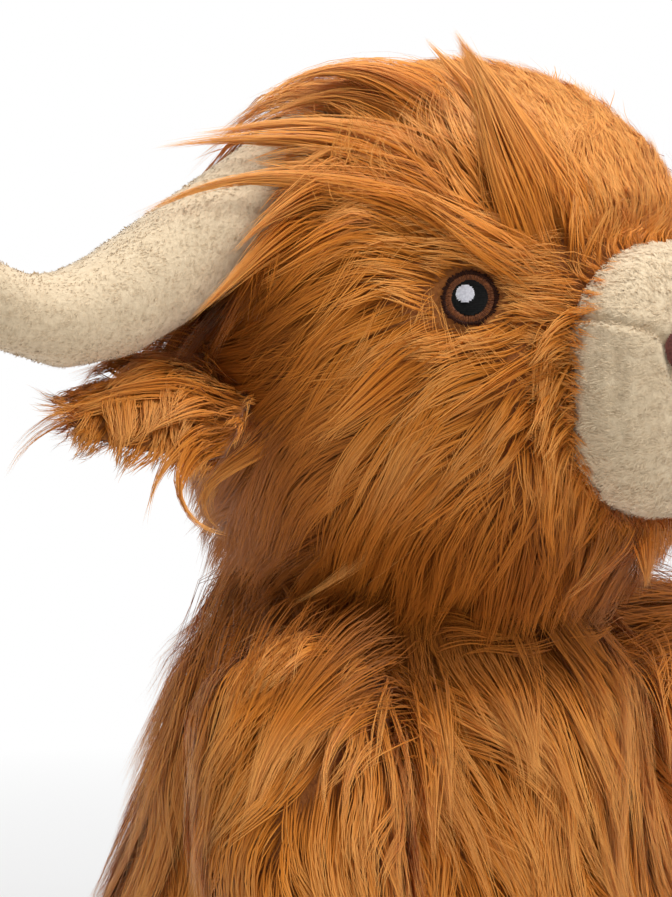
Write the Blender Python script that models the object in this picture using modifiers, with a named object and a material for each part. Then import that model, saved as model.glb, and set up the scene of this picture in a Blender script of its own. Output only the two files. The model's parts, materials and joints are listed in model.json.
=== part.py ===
"""A sitting plush cow with a shaggy coat, long curved horns and a short-pile muzzle.

Every stuffed part is a sewn fabric skin, open where it is sewn on, with its own stuffing inside. The cow
faces -Y and sits on its flat seat, whose middle is the origin, and its own left side is +X.
"""

import math

import bmesh
import bpy
from mathutils import Matrix, Vector
from mathutils.bvhtree import BVHTree

# Fabrics and sewing
COAT = 0.003  # long-pile fabric with the dense fur at its roots
PLUSH = 0.002  # short-pile plush of the horns, muzzle, hooves and ear linings
FIT = 0.0003  # gap between two pieces that touch
OVERRUN = 0.02  # how far a cutter runs past what it cuts

# Body
SEAT_WIDTH = 0.120
BODY_WIDTH = 0.176
BODY_DEPTH = 0.170
BELLY_HEIGHT = 0.062
NECK_HEIGHT = 0.166
NECK_RADIUS = 0.054
NECK_FORWARD = 0.006
NECK_OPENING = math.radians(38)
NECK_CLEARANCE = 0.0006  # round the neck, inside the head's fabric
BAG_WIDTH = 0.092
BAG_HEIGHT = 0.034

# Neck
WADDING_THICKNESS = 0.007
WADDING_SPREAD = math.radians(28)

# Head
HEAD_WIDTH = 0.148
HEAD_DEPTH = 0.148
HEAD_HEIGHT = 0.150
HEAD_ABOVE_NECK = 0.088  # from the neck's centre to the head's
HEAD_FORWARD = 0.014
SNOUT_PUSH = 0.025
SNOUT_DROP = math.radians(7)
SNOUT_TIGHTNESS = 3
SNOUT_FLAT = 0.087  # ahead of the head's middle, where the muzzle is sewn on
SNOUT_FLAT_EASE = 0.012

# Muzzle
MUZZLE_WIDTH = 0.0765
MUZZLE_DEPTH = 0.044
MUZZLE_HEIGHT = 0.0795
MUZZLE_PROUD = 0.0005  # its middle is this far ahead of the flat of the snout
MUZZLE_DROP = 0.004
MUZZLE_SQUARENESS = 0.86
MUZZLE_OPENING_RIM = 0.007
CHEEK_SEAM_OUT = 0.0208
CHEEK_SEAM_CORNER = 0.006
NOSE_SEAM_HEIGHT = 0.0143  # above the muzzle's middle, where the seam leaves the nostril
NOSE_SEAM_TILT = math.radians(20)
CHIN_SEAM_DROP = 0.0135
CHIN_SEAM_TILT = math.radians(17)
NOSTRIL_WIDTH = 0.0125
NOSTRIL_HEIGHT = 0.0125
NOSTRIL_OUT = 0.0163
NOSTRIL_RISE = 0.0088
MOUTH_HALF_WIDTH = 0.0145
MOUTH_DROP = 0.017
MOUTH_CURL = 0.005
THREAD = 0.0016

# Eyes, worked in satin stitch
EYE_TURN = math.radians(41.3)  # from straight ahead
EYE_RISE = math.radians(15)
EYE_DIAMETER = 0.0168
EYE_RIM = 0.0013
IRIS_DIAMETER = 0.0138
PUPIL_DIAMETER = 0.0104
HIGHLIGHT_DIAMETER = 0.0052
HIGHLIGHT_OUT = 0.0020
HIGHLIGHT_UP = 0.0017
STITCH_HEIGHT = 0.0011

# Horns
HORN_TURN = math.radians(103)
HORN_RISE = math.radians(47.5)
HORN_LENGTH = 0.165
HORN_RADIUS = 0.0165
HORN_SINK = 0.020
HORN_SWEEP_BACK = math.radians(8)
HORN_START_SLOPE = math.radians(-29)
HORN_END_SLOPE = math.radians(61)

# Ears
EAR_TURN = math.radians(97)
EAR_RISE = math.radians(-8.5)
EAR_LENGTH = 0.054
EAR_WIDTH = 0.031
EAR_ROOT_WIDTH = 0.020
EAR_ROLL_RADIUS = 0.0030
EAR_CUP = 0.005
EAR_DROOP = math.radians(6)
EAR_FACING = math.radians(44)  # how far the open side turns from straight down to the front
EAR_LINING_RIM = 0.0035

# Forelegs
SHOULDER_DROP = 0.020  # below the neck's centre
SHOULDER_TURN = math.radians(20)
ARM_LENGTH = 0.112
ARM_RADIUS = 0.0245
ARM_FLAT = 0.005
ARM_LEAN = math.radians(15)  # forward, and clear of the hind leg as it lifts
ARM_SPREAD = math.radians(5)
WRIST_RADIUS = 0.0185
FRONT_HOOF_RADIUS = 0.0210
FRONT_HOOF_LENGTH = 0.031

# Hind legs
HIP_TURN = math.radians(39)
HIP_RADIUS = 0.0280
HIP_SINK = 0.012
LEG_CLEARANCE = 0.0006  # under the hind leg
LEG_LENGTH = 0.104
LEG_SPLAY = math.radians(25)
THIGH_RADIUS = 0.0235
ANKLE_RADIUS = 0.0215
REAR_HOOF_RADIUS = 0.0255
REAR_HOOF_LENGTH = 0.034

# Tail
TAIL_HEIGHT = 0.082
TAIL_LENGTH = 0.074
TAIL_RADIUS = 0.0055
TUFT_RADIUS = 0.0115
TUFT_LENGTH = 0.034

# Fineness of the soft forms
ROUND_STEPS = 26
LIMB_STEPS = 14
SMALL_STEPS = 20
SEAT_STEPS = 36

COLOURS = {
    "coat": (0.47, 0.19, 0.05),
    "plush": (0.74, 0.62, 0.46),
    "stuffing": (0.90, 0.90, 0.88),
    "bag": (0.78, 0.76, 0.72),
    "rim": (0.09, 0.03, 0.015),
    "iris": (0.23, 0.08, 0.03),
    "pupil": (0.012, 0.013, 0.012),
    "highlight": (0.80, 0.80, 0.84),
    "nostril": (0.14, 0.035, 0.025),
}


def clear_scene():
    for thing in list(bpy.data.objects):
        bpy.data.objects.remove(thing)


def new_collection(name):
    made = bpy.data.collections.new(name)
    bpy.context.scene.collection.children.link(made)
    return made


def fabric(name, roughness=0.9):
    found = bpy.data.materials.get(name)
    if found:
        return found
    made = bpy.data.materials.new(name)
    made.use_nodes = True
    shader = made.node_tree.nodes["Principled BSDF"]
    shader.inputs["Base Color"].default_value = (*COLOURS[name], 1.0)
    shader.inputs["Roughness"].default_value = roughness
    shader.inputs["Metallic"].default_value = 0.0
    return made


def piece(name, form, material):
    """One sub-part from a bmesh, which is used up."""
    mesh = bpy.data.meshes.new(name)
    form.to_mesh(mesh)
    form.free()
    mesh.shade_smooth()
    made = bpy.data.objects.new(name, mesh)
    made.data.materials.append(fabric(material))
    part_collection.objects.link(made)
    return made


def cutter(name, form):
    """A helper solid that other pieces are cut by. It isn't part of the toy."""
    mesh = bpy.data.meshes.new(name)
    form.to_mesh(mesh)
    form.free()
    made = bpy.data.objects.new(name, mesh)
    made.hide_render = True
    made.display_type = "WIRE"
    cutter_collection.objects.link(made)
    return made


def boolean(thing, other, operation="DIFFERENCE"):
    modifier = thing.modifiers.new(f"{operation.lower()} {other.name}", "BOOLEAN")
    modifier.operation = operation
    modifier.object = other
    modifier.solver = "EXACT"


def thicken(thing, thickness, side=-1):
    """Gives a sewn skin its fabric thickness, inwards from its outer face by default."""
    modifier = thing.modifiers.new("fabric", "SOLIDIFY")
    modifier.thickness = thickness
    modifier.offset = side
    modifier.use_even_offset = False


def turned(profile, steps):
    """A bmesh of revolution about Z, from (radius, height) points."""
    form = bmesh.new()
    corners = [form.verts.new((radius, 0, height)) for radius, height in profile]
    edges = [form.edges.new(pair) for pair in zip(corners, corners[1:])]
    bmesh.ops.spin(
        form,
        geom=corners + edges,
        cent=(0, 0, 0),
        axis=(0, 0, 1),
        dvec=(0, 0, 0),
        angle=2 * math.pi,
        steps=steps,
        use_merge=True,
    )
    bmesh.ops.remove_doubles(form, verts=form.verts, dist=FIT / 30)
    bmesh.ops.recalc_face_normals(form, faces=form.faces)
    return form


def ball(steps, rings):
    form = bmesh.new()
    bmesh.ops.create_uvsphere(form, u_segments=steps, v_segments=rings, radius=1)
    return form


def block():
    form = bmesh.new()
    bmesh.ops.create_cube(form, size=1)
    return form


def shaped(form, rule):
    """Moves every point by a rule. Triangles keep the skin and what is cut to fit it alike."""
    for vertex in form.verts:
        vertex.co = rule(vertex.co.copy())
    bmesh.ops.triangulate(form, faces=form.faces)
    return form


def grown(form, distance):
    """The form with every point moved along its normal, outwards if distance is positive."""
    form.normal_update()
    moves = [(vertex, vertex.normal * distance) for vertex in form.verts]
    for vertex, move in moves:
        vertex.co += move
    return form


def placed(form, matrix):
    form.transform(matrix)
    return form


def opened(form, is_open):
    """The form without the faces whose middle is where the skin is open."""
    gone = [face for face in form.faces if is_open(face.calc_center_median())]
    bmesh.ops.delete(form, geom=gone, context="FACES")
    return form


def sided(form, side):
    """Forms are made for the cow's left side, +X, and mirrored for its right."""
    if side == "right":
        bmesh.ops.scale(form, vec=(-1, 1, 1), verts=form.verts)
        bmesh.ops.reverse_faces(form, faces=form.faces)
    return form


def blended(start, end, share):
    share = min(max(share, 0.0), 1.0)
    return start + (end - start) * share * share * (3 - 2 * share)


def eased_stop(value, stop, ease):
    """The value, brought to rest at the stop with a soft knee."""
    over = value - stop + ease
    return value if over < 0 else stop - ease * math.exp(-over / ease)


def frame_matrix(origin, x_axis, y_axis, z_axis):
    rows = Matrix((x_axis, y_axis, z_axis)).transposed().to_4x4()
    rows.translation = origin
    return rows


def heading(turn, rise):
    """The direction that far round from straight ahead towards the left, and that far up."""
    level = math.cos(rise)
    return Vector((math.sin(turn) * level, -math.cos(turn) * level, math.sin(rise)))


def surface_at(form, origin, direction):
    """Where a line from inside a closed form meets it, and the outward normal there."""
    tree = BVHTree.FromBMesh(form)
    point, normal, _, _ = tree.ray_cast(origin, direction)
    return point, normal if normal.dot(direction) > 0 else -normal


# Body


def cone_angle():
    """How far the flanks lean in, on the line that touches both the belly and the round neck."""
    half = BODY_WIDTH / 2
    rise = NECK_HEIGHT - BELLY_HEIGHT
    return math.atan2(half, rise) - math.asin(NECK_RADIUS / math.hypot(half, rise))


def body_profile():
    lean = -cone_angle()
    seat = SEAT_WIDTH / 2
    belly = BODY_WIDTH / 2
    points = [(0, 0), (seat * 0.55, 0)]
    for step in range(6):
        around = math.radians(-90 + 16 * step)
        points.append((seat + (belly - seat) * math.cos(around), BELLY_HEIGHT * (1 + math.sin(around))))
    points.append((belly, BELLY_HEIGHT))
    top = NECK_HEIGHT + NECK_RADIUS * math.sin(abs(lean))
    shoulder = NECK_RADIUS * math.cos(lean)
    for share in (0.25, 0.5, 0.75):
        points.append((belly + (shoulder - belly) * share, BELLY_HEIGHT + (top - BELLY_HEIGHT) * share))
    rest = math.pi / 2 - abs(lean)
    angles = [rest + (NECK_OPENING - rest) * share for share in (0, 1 / 3, 2 / 3, 1)] + [NECK_OPENING / 2, 0]
    for polar in angles:
        points.append((NECK_RADIUS * math.sin(polar), NECK_HEIGHT + NECK_RADIUS * math.cos(polar)))
    return points


def body_form():
    def rule(point):
        share = blended(BODY_DEPTH / BODY_WIDTH, 1, (point.z - BELLY_HEIGHT) / (NECK_HEIGHT - BELLY_HEIGHT))
        shift = blended(0, NECK_FORWARD, (point.z - BELLY_HEIGHT) / (NECK_HEIGHT - BELLY_HEIGHT))
        return Vector((point.x, point.y * share - shift, point.z))

    return shaped(turned(body_profile(), ROUND_STEPS), rule)


def neck_centre():
    return Vector((0, -NECK_FORWARD, NECK_HEIGHT))


def round_seat(centre, radius):
    """A ball to cut a seat with, whose flat faces all stay outside the radius."""
    form = ball(SEAT_STEPS, SEAT_STEPS // 2)
    clear = radius / math.cos(math.pi / SEAT_STEPS) ** 2
    return placed(form, Matrix.Translation(centre) @ Matrix.Scale(clear, 4))


def bag_form():
    """The pellet bag, flat where it lies on the seat."""
    form = ball(SMALL_STEPS, 10)
    floor = COAT + FIT

    def rule(point):
        height = floor + BAG_HEIGHT * (point.z + 0.35) / 1.35
        return Vector((point.x * BAG_WIDTH / 2, point.y * BAG_WIDTH / 2, max(height, floor)))

    shaped(form, rule)
    bmesh.ops.remove_doubles(form, verts=form.verts, dist=FIT / 30)
    bmesh.ops.dissolve_limit(
        form,
        angle_limit=math.radians(0.1),
        verts=[vertex for vertex in form.verts if vertex.co.z <= floor + FIT / 30],
        edges=[edge for edge in form.edges if max(end.co.z for end in edge.verts) <= floor + FIT / 30],
    )
    return form


def make_body():
    skin_top = NECK_HEIGHT + NECK_RADIUS * math.cos(NECK_OPENING)
    skin = piece("body_skin", opened(body_form(), lambda middle: middle.z > skin_top), "coat")
    thicken(skin, COAT)
    stuffing = piece("body_stuffing", grown(body_form(), -COAT - FIT), "stuffing")
    bag = piece("seat_bead_bag", bag_form(), "bag")
    recess = cutter("bag_recess", grown(bag_form(), FIT))
    boolean(stuffing, recess)
    for side in ("left", "right"):
        socket = cutter(f"hip_socket_{side}", sided(round_seat(hip_centre(), HIP_RADIUS + FIT), side))
        boolean(skin, socket)
        lining = cutter(f"hip_lining_{side}", sided(round_seat(hip_centre(), HIP_RADIUS + COAT + 2 * FIT), side))
        boolean(stuffing, lining)
    return skin, stuffing, bag


def make_neck_wadding():
    """The firm plug in the neck that the head nods on: a lens of wadding round the neck's centre."""
    inner = NECK_RADIUS - COAT
    outer = NECK_RADIUS + WADDING_THICKNESS
    angles = [WADDING_SPREAD * share for share in (0, 0.34, 0.67, 1)]
    profile = [(inner * math.sin(angle), inner * math.cos(angle)) for angle in angles]
    profile += [(outer * math.sin(angle), outer * math.cos(angle)) for angle in reversed(angles)]
    form = placed(turned(profile, SMALL_STEPS), Matrix.Translation(neck_centre()))
    return piece("neck_wadding", form, "stuffing")


# Head


def head_centre():
    return Vector((0, -HEAD_FORWARD - NECK_FORWARD, NECK_HEIGHT + HEAD_ABOVE_NECK))


def head_form():
    snout = heading(0, -SNOUT_DROP)

    def rule(point):
        push = max(point.normalized().dot(snout), 0) ** SNOUT_TIGHTNESS * SNOUT_PUSH
        ahead = push - point.y * HEAD_DEPTH / 2
        ahead = eased_stop(ahead, SNOUT_FLAT, SNOUT_FLAT_EASE)
        return head_centre() + Vector((point.x * HEAD_WIDTH / 2, -ahead, point.z * HEAD_HEIGHT / 2))

    return shaped(ball(ROUND_STEPS, 16), rule)


def make_head():
    skin = piece("head_skin", head_form(), "coat")
    thicken(skin, COAT)
    boolean(skin, cutter("neck_seat", round_seat(neck_centre(), NECK_RADIUS + NECK_CLEARANCE)))
    boolean(skin, cutter("muzzle_opening", grown(muzzle_form(), -MUZZLE_OPENING_RIM)))
    stuffing = piece("head_stuffing", grown(head_form(), -COAT - FIT), "stuffing")
    boolean(stuffing, cutter("wadding_seat", round_seat(neck_centre(), NECK_RADIUS + WADDING_THICKNESS + FIT)))
    return skin, stuffing


# Muzzle


def muzzle_centre():
    return head_centre() + Vector((0, -MUZZLE_PROUD - SNOUT_FLAT, -MUZZLE_DROP))


def squared(value):
    return math.copysign(abs(value) ** MUZZLE_SQUARENESS, value)


def muzzle_form():
    centre = muzzle_centre()

    def rule(point):
        return centre + Vector(
            (
                squared(point.x) * MUZZLE_WIDTH / 2,
                squared(point.y) * MUZZLE_DEPTH / 2,
                squared(point.z) * MUZZLE_HEIGHT / 2,
            )
        )

    return shaped(ball(SMALL_STEPS, 14), rule)


def cheek_prism(clearance):
    """What one cheek panel is cut with: a wedge between the nose seam and the chin seam, rounded inside."""
    form = block()
    for vertex in form.verts:
        out = MUZZLE_WIDTH / 2 if vertex.co.x > 0 else -clearance
        if vertex.co.z > 0:
            height = NOSE_SEAM_HEIGHT + clearance + out * math.tan(NOSE_SEAM_TILT)
        else:
            height = -CHIN_SEAM_DROP - clearance - out * math.tan(CHIN_SEAM_TILT)
        vertex.co = Vector((out, math.copysign(MUZZLE_DEPTH / 2 + OVERRUN, vertex.co.y), height))
    inner = [edge for edge in form.edges if all(end.co.x < 0.1 * MUZZLE_WIDTH for end in edge.verts)]
    bmesh.ops.bevel(
        form,
        geom=[edge for edge in inner if edge.verts[0].co.z == edge.verts[1].co.z],
        offset=CHEEK_SEAM_CORNER + clearance,
        offset_type="OFFSET",
        segments=6,
        profile=0.5,
        affect="EDGES",
        material=-1,
    )
    return placed(form, Matrix.Translation(muzzle_centre() + Vector((CHEEK_SEAM_OUT, 0, 0))))


def make_muzzle():
    head = cutter("head_solid", grown(head_form(), FIT))
    nose = piece("nose_panel", muzzle_form(), "plush")
    thicken(nose, PLUSH)
    boolean(nose, head)
    for side in ("left", "right"):
        cheek = piece(f"cheek_panel_{side}", muzzle_form(), "plush")
        thicken(cheek, PLUSH)
        boolean(cheek, head)
        boolean(cheek, cutter(f"cheek_{side}", sided(cheek_prism(0), side)), "INTERSECT")
        boolean(nose, cutter(f"cheek_seam_{side}", sided(cheek_prism(FIT), side)))
    stuffing = piece("muzzle_stuffing", grown(muzzle_form(), -PLUSH - FIT), "stuffing")
    boolean(stuffing, head)


def muzzle_point(out, up):
    origin = muzzle_centre() + Vector((out, 0, up))
    return surface_at(muzzle_form(), origin, Vector((0, -1, 0)))


def patch(width, height, thickness, steps=SMALL_STEPS):
    """A crowned oval of stitching, whose back lies at height 0 before it is cut to its ground."""
    edge = 0.35 * thickness
    profile = [(0, -thickness), (1, -thickness), (1, edge), (0.82, 0.8 * thickness), (0, thickness)]
    form = turned([(radius * width / 2, height_of) for radius, height_of in profile], steps)
    bmesh.ops.scale(form, vec=(1, height / width, 1), verts=form.verts)
    return form


def stitched_on(name, form, material, point, normal, ground, up=Vector((0, 0, 1))):
    """Lays a patch of stitching on a surface, cut to fit the ground that it is sewn on."""
    across = up.cross(normal).normalized()
    placed(form, frame_matrix(point, across, normal.cross(across), normal))
    made = piece(name, form, material)
    boolean(made, ground)
    return made


def make_nose_stitching():
    ground = cutter("muzzle_solid", grown(muzzle_form(), FIT))
    for side, sign in (("left", 1), ("right", -1)):
        point, normal = muzzle_point(sign * NOSTRIL_OUT, NOSTRIL_RISE)
        form = patch(NOSTRIL_WIDTH, NOSTRIL_HEIGHT, STITCH_HEIGHT)
        nostril = stitched_on(f"nostril_{side}", form, "nostril", point, normal, ground)
        boolean(nostril, bpy.data.objects[f"cheek_seam_{side}"])
    curve = bpy.data.curves.new("mouth_stitch", "CURVE")
    curve.dimensions = "3D"
    curve.bevel_depth = THREAD / 2
    curve.bevel_resolution = 2
    curve.use_fill_caps = True
    steps = 12
    line = curve.splines.new("POLY")
    line.points.add(steps)
    for step in range(steps + 1):
        across = 2 * step / steps - 1
        lift = MOUTH_CURL * across * across
        point, normal = muzzle_point(MOUTH_HALF_WIDTH * across, lift - MOUTH_DROP)
        line.points[step].co = (*(point + normal * (THREAD / 2 + FIT)), 1)
    mouth = bpy.data.objects.new("mouth_stitch", curve)
    curve.materials.append(fabric("nostril"))
    part_collection.objects.link(mouth)


# Eyes


def ring(outer, inner, thickness):
    """A flat-backed band of radial stitches between two circles, crowned in the middle."""
    middle = (outer + inner) / 4
    profile = [
        (inner / 2, -thickness),
        (outer / 2, -thickness),
        (outer / 2, 0.4 * thickness),
        (middle, thickness),
        (inner / 2, 0.6 * thickness),
        (inner / 2, -thickness),
    ]
    return turned(profile, SMALL_STEPS)


def make_eyes():
    ground = cutter("eye_ground", grown(head_form(), FIT))
    for side, sign in (("left", 1), ("right", -1)):
        point, normal = surface_at(head_form(), head_centre(), heading(sign * EYE_TURN, EYE_RISE))
        rim = ring(EYE_DIAMETER, EYE_DIAMETER - 2 * EYE_RIM, STITCH_HEIGHT)
        stitched_on(f"eye_rim_{side}", rim, "rim", point, normal, ground)
        iris = ring(IRIS_DIAMETER, PUPIL_DIAMETER + 2 * FIT, 1.2 * STITCH_HEIGHT)
        stitched_on(f"eye_iris_{side}", iris, "iris", point, normal, ground)
        pupil = patch(PUPIL_DIAMETER, PUPIL_DIAMETER, 1.1 * STITCH_HEIGHT)
        pupil = stitched_on(f"eye_pupil_{side}", pupil, "pupil", point, normal, ground)
        spot = point + Vector((-HIGHLIGHT_OUT, 0, HIGHLIGHT_UP))
        spot += normal * (spot - point).dot(normal) * -1
        highlight = patch(HIGHLIGHT_DIAMETER, HIGHLIGHT_DIAMETER, 1.9 * STITCH_HEIGHT)
        stitched_on(f"eye_highlight_{side}", highlight, "highlight", spot, normal, ground)
        hole = patch(HIGHLIGHT_DIAMETER + 2 * FIT, HIGHLIGHT_DIAMETER + 2 * FIT, 4 * STITCH_HEIGHT)
        across = Vector((0, 0, 1)).cross(normal).normalized()
        placed(hole, frame_matrix(spot, across, normal.cross(across), normal))
        boolean(pupil, cutter(f"highlight_hole_{side}", hole))


# Horns


def horn_radius(share):
    """Nearly even for two thirds of the length, then drawn in to a blunt tip."""
    taper = blended(1.0, 0.30, (share - 0.45) / 0.60)
    tip = math.sqrt(max(1 - max((share - 0.95) / 0.05, 0) ** 2, 0))
    return HORN_RADIUS * taper * tip


def horn_path(steps):
    """Points and slopes along the horn's middle: out and down from the head, then up to the tip."""
    outward = heading(math.pi / 2 + HORN_SWEEP_BACK, 0)
    root, _ = surface_at(head_form(), head_centre(), heading(HORN_TURN, HORN_RISE))
    slope = HORN_START_SLOPE
    point = root - (outward * math.cos(slope) + Vector((0, 0, math.sin(slope)))) * HORN_SINK
    length = (HORN_LENGTH + HORN_SINK) / steps
    path = []
    for step in range(steps + 1):
        slope = blended(HORN_START_SLOPE, HORN_END_SLOPE, (step / steps - 0.425) / 0.5)
        path.append((point.copy(), slope))
        point += (outward * math.cos(slope) + Vector((0, 0, math.sin(slope)))) * length
    return path, outward


def horn_form():
    steps = 60
    path, outward = horn_path(steps)
    shares = [0, 0.1, 0.22, 0.34, 0.44, 0.53, 0.62, 0.71, 0.79, 0.87, 0.93, 0.965, 0.988, 1]
    profile = [(0, 0)] + [(horn_radius(share), share) for share in shares]
    up = Vector((0, 0, 1))
    binormal = outward.cross(up)

    def rule(point):
        place, slope = path[min(round(point.z * steps), steps)]
        exact = point.z * steps - round(point.z * steps)
        tangent = outward * math.cos(slope) + up * math.sin(slope)
        normal = up * math.cos(slope) - outward * math.sin(slope)
        along = tangent * exact * (HORN_LENGTH + HORN_SINK) / steps
        return place + along + normal * point.x + binormal * point.y

    return shaped(turned(profile, LIMB_STEPS), rule)


def make_horns():
    ground = cutter("horn_ground", grown(head_form(), FIT))
    for side in ("left", "right"):
        skin = piece(f"horn_skin_{side}", sided(horn_form(), side), "plush")
        thicken(skin, PLUSH)
        boolean(skin, ground)
        stuffing = piece(f"horn_stuffing_{side}", sided(grown(horn_form(), -PLUSH - FIT), side), "stuffing")
        boolean(stuffing, ground)


# Ears


def ear_frame():
    """The ear's hinge line lies along Y of this frame, and its blade runs out along X."""
    point, normal = surface_at(head_form(), head_centre(), heading(EAR_TURN, EAR_RISE))
    outward = Vector((normal.x, normal.y, 0)).normalized()
    hinge = Vector((0, 0, 1)).cross(outward)
    out = outward * math.cos(EAR_DROOP) - Vector((0, 0, 1)) * math.sin(EAR_DROOP)
    start = point + normal * (EAR_ROLL_RADIUS + FIT)
    return frame_matrix(start, out, hinge, out.cross(hinge))


def ear_width(share):
    """The leaf's width: a narrow root, widest before the middle, and a rounded tip."""
    swell = math.sin(math.pi * min(share, 1) ** 0.72) ** 0.75
    return blended(EAR_ROOT_WIDTH, 0, (share - 0.1) / 0.5) + EAR_WIDTH * swell * blended(0, 1, share / 0.35)


def ear_blade(start, rim, lift):
    """The leaf, cupped about its length and turned to face partly forwards."""
    form = bmesh.new()
    bmesh.ops.create_grid(form, x_segments=10, y_segments=6, size=1)

    def rule(point):
        share = (point.x + 1) / 2
        along = start + (EAR_LENGTH - start - rim) * share
        half = max(ear_width(along / EAR_LENGTH) / 2 - rim, EAR_ROLL_RADIUS / 2)
        cup = EAR_CUP * (1 - point.y * point.y) * math.sin(math.pi * min(along / EAR_LENGTH, 1))
        twist = blended(0, EAR_FACING, along / EAR_LENGTH / 0.4)
        flat = Vector((0, half * point.y, cup + lift))
        turn = Matrix.Rotation(twist, 3, "X")
        return Vector((along, 0, 0)) + turn @ flat

    return shaped(form, rule)


def make_ears():
    for side in ("left", "right"):
        back = piece(f"ear_back_{side}", sided(placed(ear_blade(0, 0, 0), ear_frame()), side), "coat")
        thicken(back, COAT, 1)
        roll = turned(
            [(0, -0.5), (1, -0.5), (1, 0.5), (0, 0.5)],
            LIMB_STEPS,
        )
        bmesh.ops.scale(roll, vec=(EAR_ROLL_RADIUS, EAR_ROLL_RADIUS, EAR_ROOT_WIDTH), verts=roll.verts)
        placed(roll, ear_frame() @ Matrix.Rotation(math.pi / 2, 4, "X"))
        boolean(back, cutter(f"ear_roll_{side}", sided(roll, side)), "UNION")
        blade = ear_blade(2 * EAR_ROLL_RADIUS, EAR_LINING_RIM, -FIT)
        lining = piece(f"ear_lining_{side}", sided(placed(blade, ear_frame()), side), "plush")
        thicken(lining, PLUSH, -1)


# Limbs


def limb_profile(radii, start, end):
    """(radius, distance) points between two places along a limb, from its radius stations."""
    inside = [(place, radius) for place, radius in radii if start < place < end]
    ends = [(start, radius_along(radii, start)), (end, radius_along(radii, end))]
    return [(radius, place) for place, radius in [ends[0]] + inside + [ends[1]]]


def radius_along(radii, place):
    for (near, first), (far, second) in zip(radii, radii[1:]):
        if near <= place <= far:
            return first + (second - first) * (place - near) / (far - near)
    return radii[-1][1]


def round_end(centre, radius, start, end, steps):
    """Stations on a half-round end between two angles from the limb's axis."""
    stations = []
    for step in range(steps + 1):
        angle = start + (end - start) * step / steps
        stations.append((centre - radius * math.cos(angle), radius * math.sin(angle)))
    return stations


def arm_radii():
    shoulder = round_end(0, ARM_RADIUS, 0, math.radians(80), 4)
    toe = ARM_LENGTH - FRONT_HOOF_RADIUS
    wrist = ARM_LENGTH - FRONT_HOOF_LENGTH
    middle = [
        (0.30 * wrist, 0.98 * ARM_RADIUS),
        (0.65 * wrist, 0.5 * (ARM_RADIUS + WRIST_RADIUS)),
        (wrist, WRIST_RADIUS),
        (0.4 * wrist + 0.6 * toe, 0.95 * FRONT_HOOF_RADIUS),
    ]
    return shoulder + middle + round_end(toe, FRONT_HOOF_RADIUS, math.radians(95), math.pi, 4)


def shoulder_frame():
    """X points out of the body along the shoulder's hinge, and Z runs down the foreleg."""
    normal = heading(math.pi / 2 - SHOULDER_TURN, abs(cone_angle()))
    body = body_form()
    reach = max(vertex.co.dot(normal) for vertex in body.verts)
    down = (Vector((0, 0, -1)) + normal * normal.z).normalized()
    ahead = normal.cross(down)
    if ahead.y > 0:
        ahead = -ahead
    lean = down * math.cos(ARM_LEAN) + ahead * math.sin(ARM_LEAN)
    side = lean.cross(normal)
    level = Vector((0, -NECK_FORWARD, NECK_HEIGHT - SHOULDER_DROP))
    out = (reach + FIT - level.dot(normal)) / normal.dot(Vector((normal.x, normal.y, 0)).normalized())
    origin = level + Vector((normal.x, normal.y, 0)).normalized() * out
    return frame_matrix(origin, normal, side, lean)


def arm_form(start, end):
    form = turned(limb_profile(arm_radii(), start, end), LIMB_STEPS)
    lean = Matrix.Rotation(ARM_SPREAD, 4, "Y")
    offset = Matrix.Translation((ARM_RADIUS - ARM_FLAT, 0, 0))
    return placed(form, shoulder_frame() @ offset @ lean)


def shoulder_plane():
    """The body's side of the flat that the foreleg is sewn on at."""
    form = block()
    size = 2 * (ARM_LENGTH + OVERRUN)
    bmesh.ops.scale(form, vec=(OVERRUN, size, size), verts=form.verts)
    bmesh.ops.translate(form, vec=(-OVERRUN / 2, 0, 0), verts=form.verts)
    return placed(form, shoulder_frame())


def make_arms():
    wrist = ARM_LENGTH - FRONT_HOOF_LENGTH
    for side in ("left", "right"):
        plane = cutter(f"shoulder_plane_{side}", sided(shoulder_plane(), side))
        skin = piece(f"arm_skin_{side}", sided(arm_form(-ARM_RADIUS, wrist), side), "coat")
        thicken(skin, COAT)
        boolean(skin, plane)
        hoof = piece(f"front_hoof_{side}", sided(arm_form(wrist + FIT, ARM_LENGTH), side), "plush")
        thicken(hoof, PLUSH)
        form = grown(arm_form(-ARM_RADIUS, ARM_LENGTH), -COAT - FIT)
        stuffing = piece(f"arm_stuffing_{side}", sided(form, side), "stuffing")
        boolean(stuffing, plane)


def leg_radii():
    hip = round_end(0, HIP_RADIUS, 0, math.radians(100), 5)
    toe = LEG_LENGTH - REAR_HOOF_RADIUS
    ankle = LEG_LENGTH - REAR_HOOF_LENGTH
    middle = [
        (0.5 * HIP_RADIUS, 0.5 * (HIP_RADIUS + THIGH_RADIUS)),
        (0.9 * HIP_RADIUS, THIGH_RADIUS),
        (ankle, ANKLE_RADIUS),
        (0.4 * ankle + 0.6 * toe, 0.96 * REAR_HOOF_RADIUS),
    ]
    return hip + middle + round_end(toe, REAR_HOOF_RADIUS, math.radians(95), math.pi, 4)


def hip_centre():
    height = HIP_RADIUS + LEG_CLEARANCE
    direction = heading(HIP_TURN, 0)
    point, _ = surface_at(body_form(), Vector((0, 0, height)), direction)
    return point + direction * (HIP_RADIUS - HIP_SINK)


def leg_form(start, end):
    form = turned(limb_profile(leg_radii(), start, end), LIMB_STEPS)
    along = heading(LEG_SPLAY, 0)
    across = Vector((0, 0, 1)).cross(along).normalized()
    return placed(form, frame_matrix(hip_centre(), across.cross(along), across, along))


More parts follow.
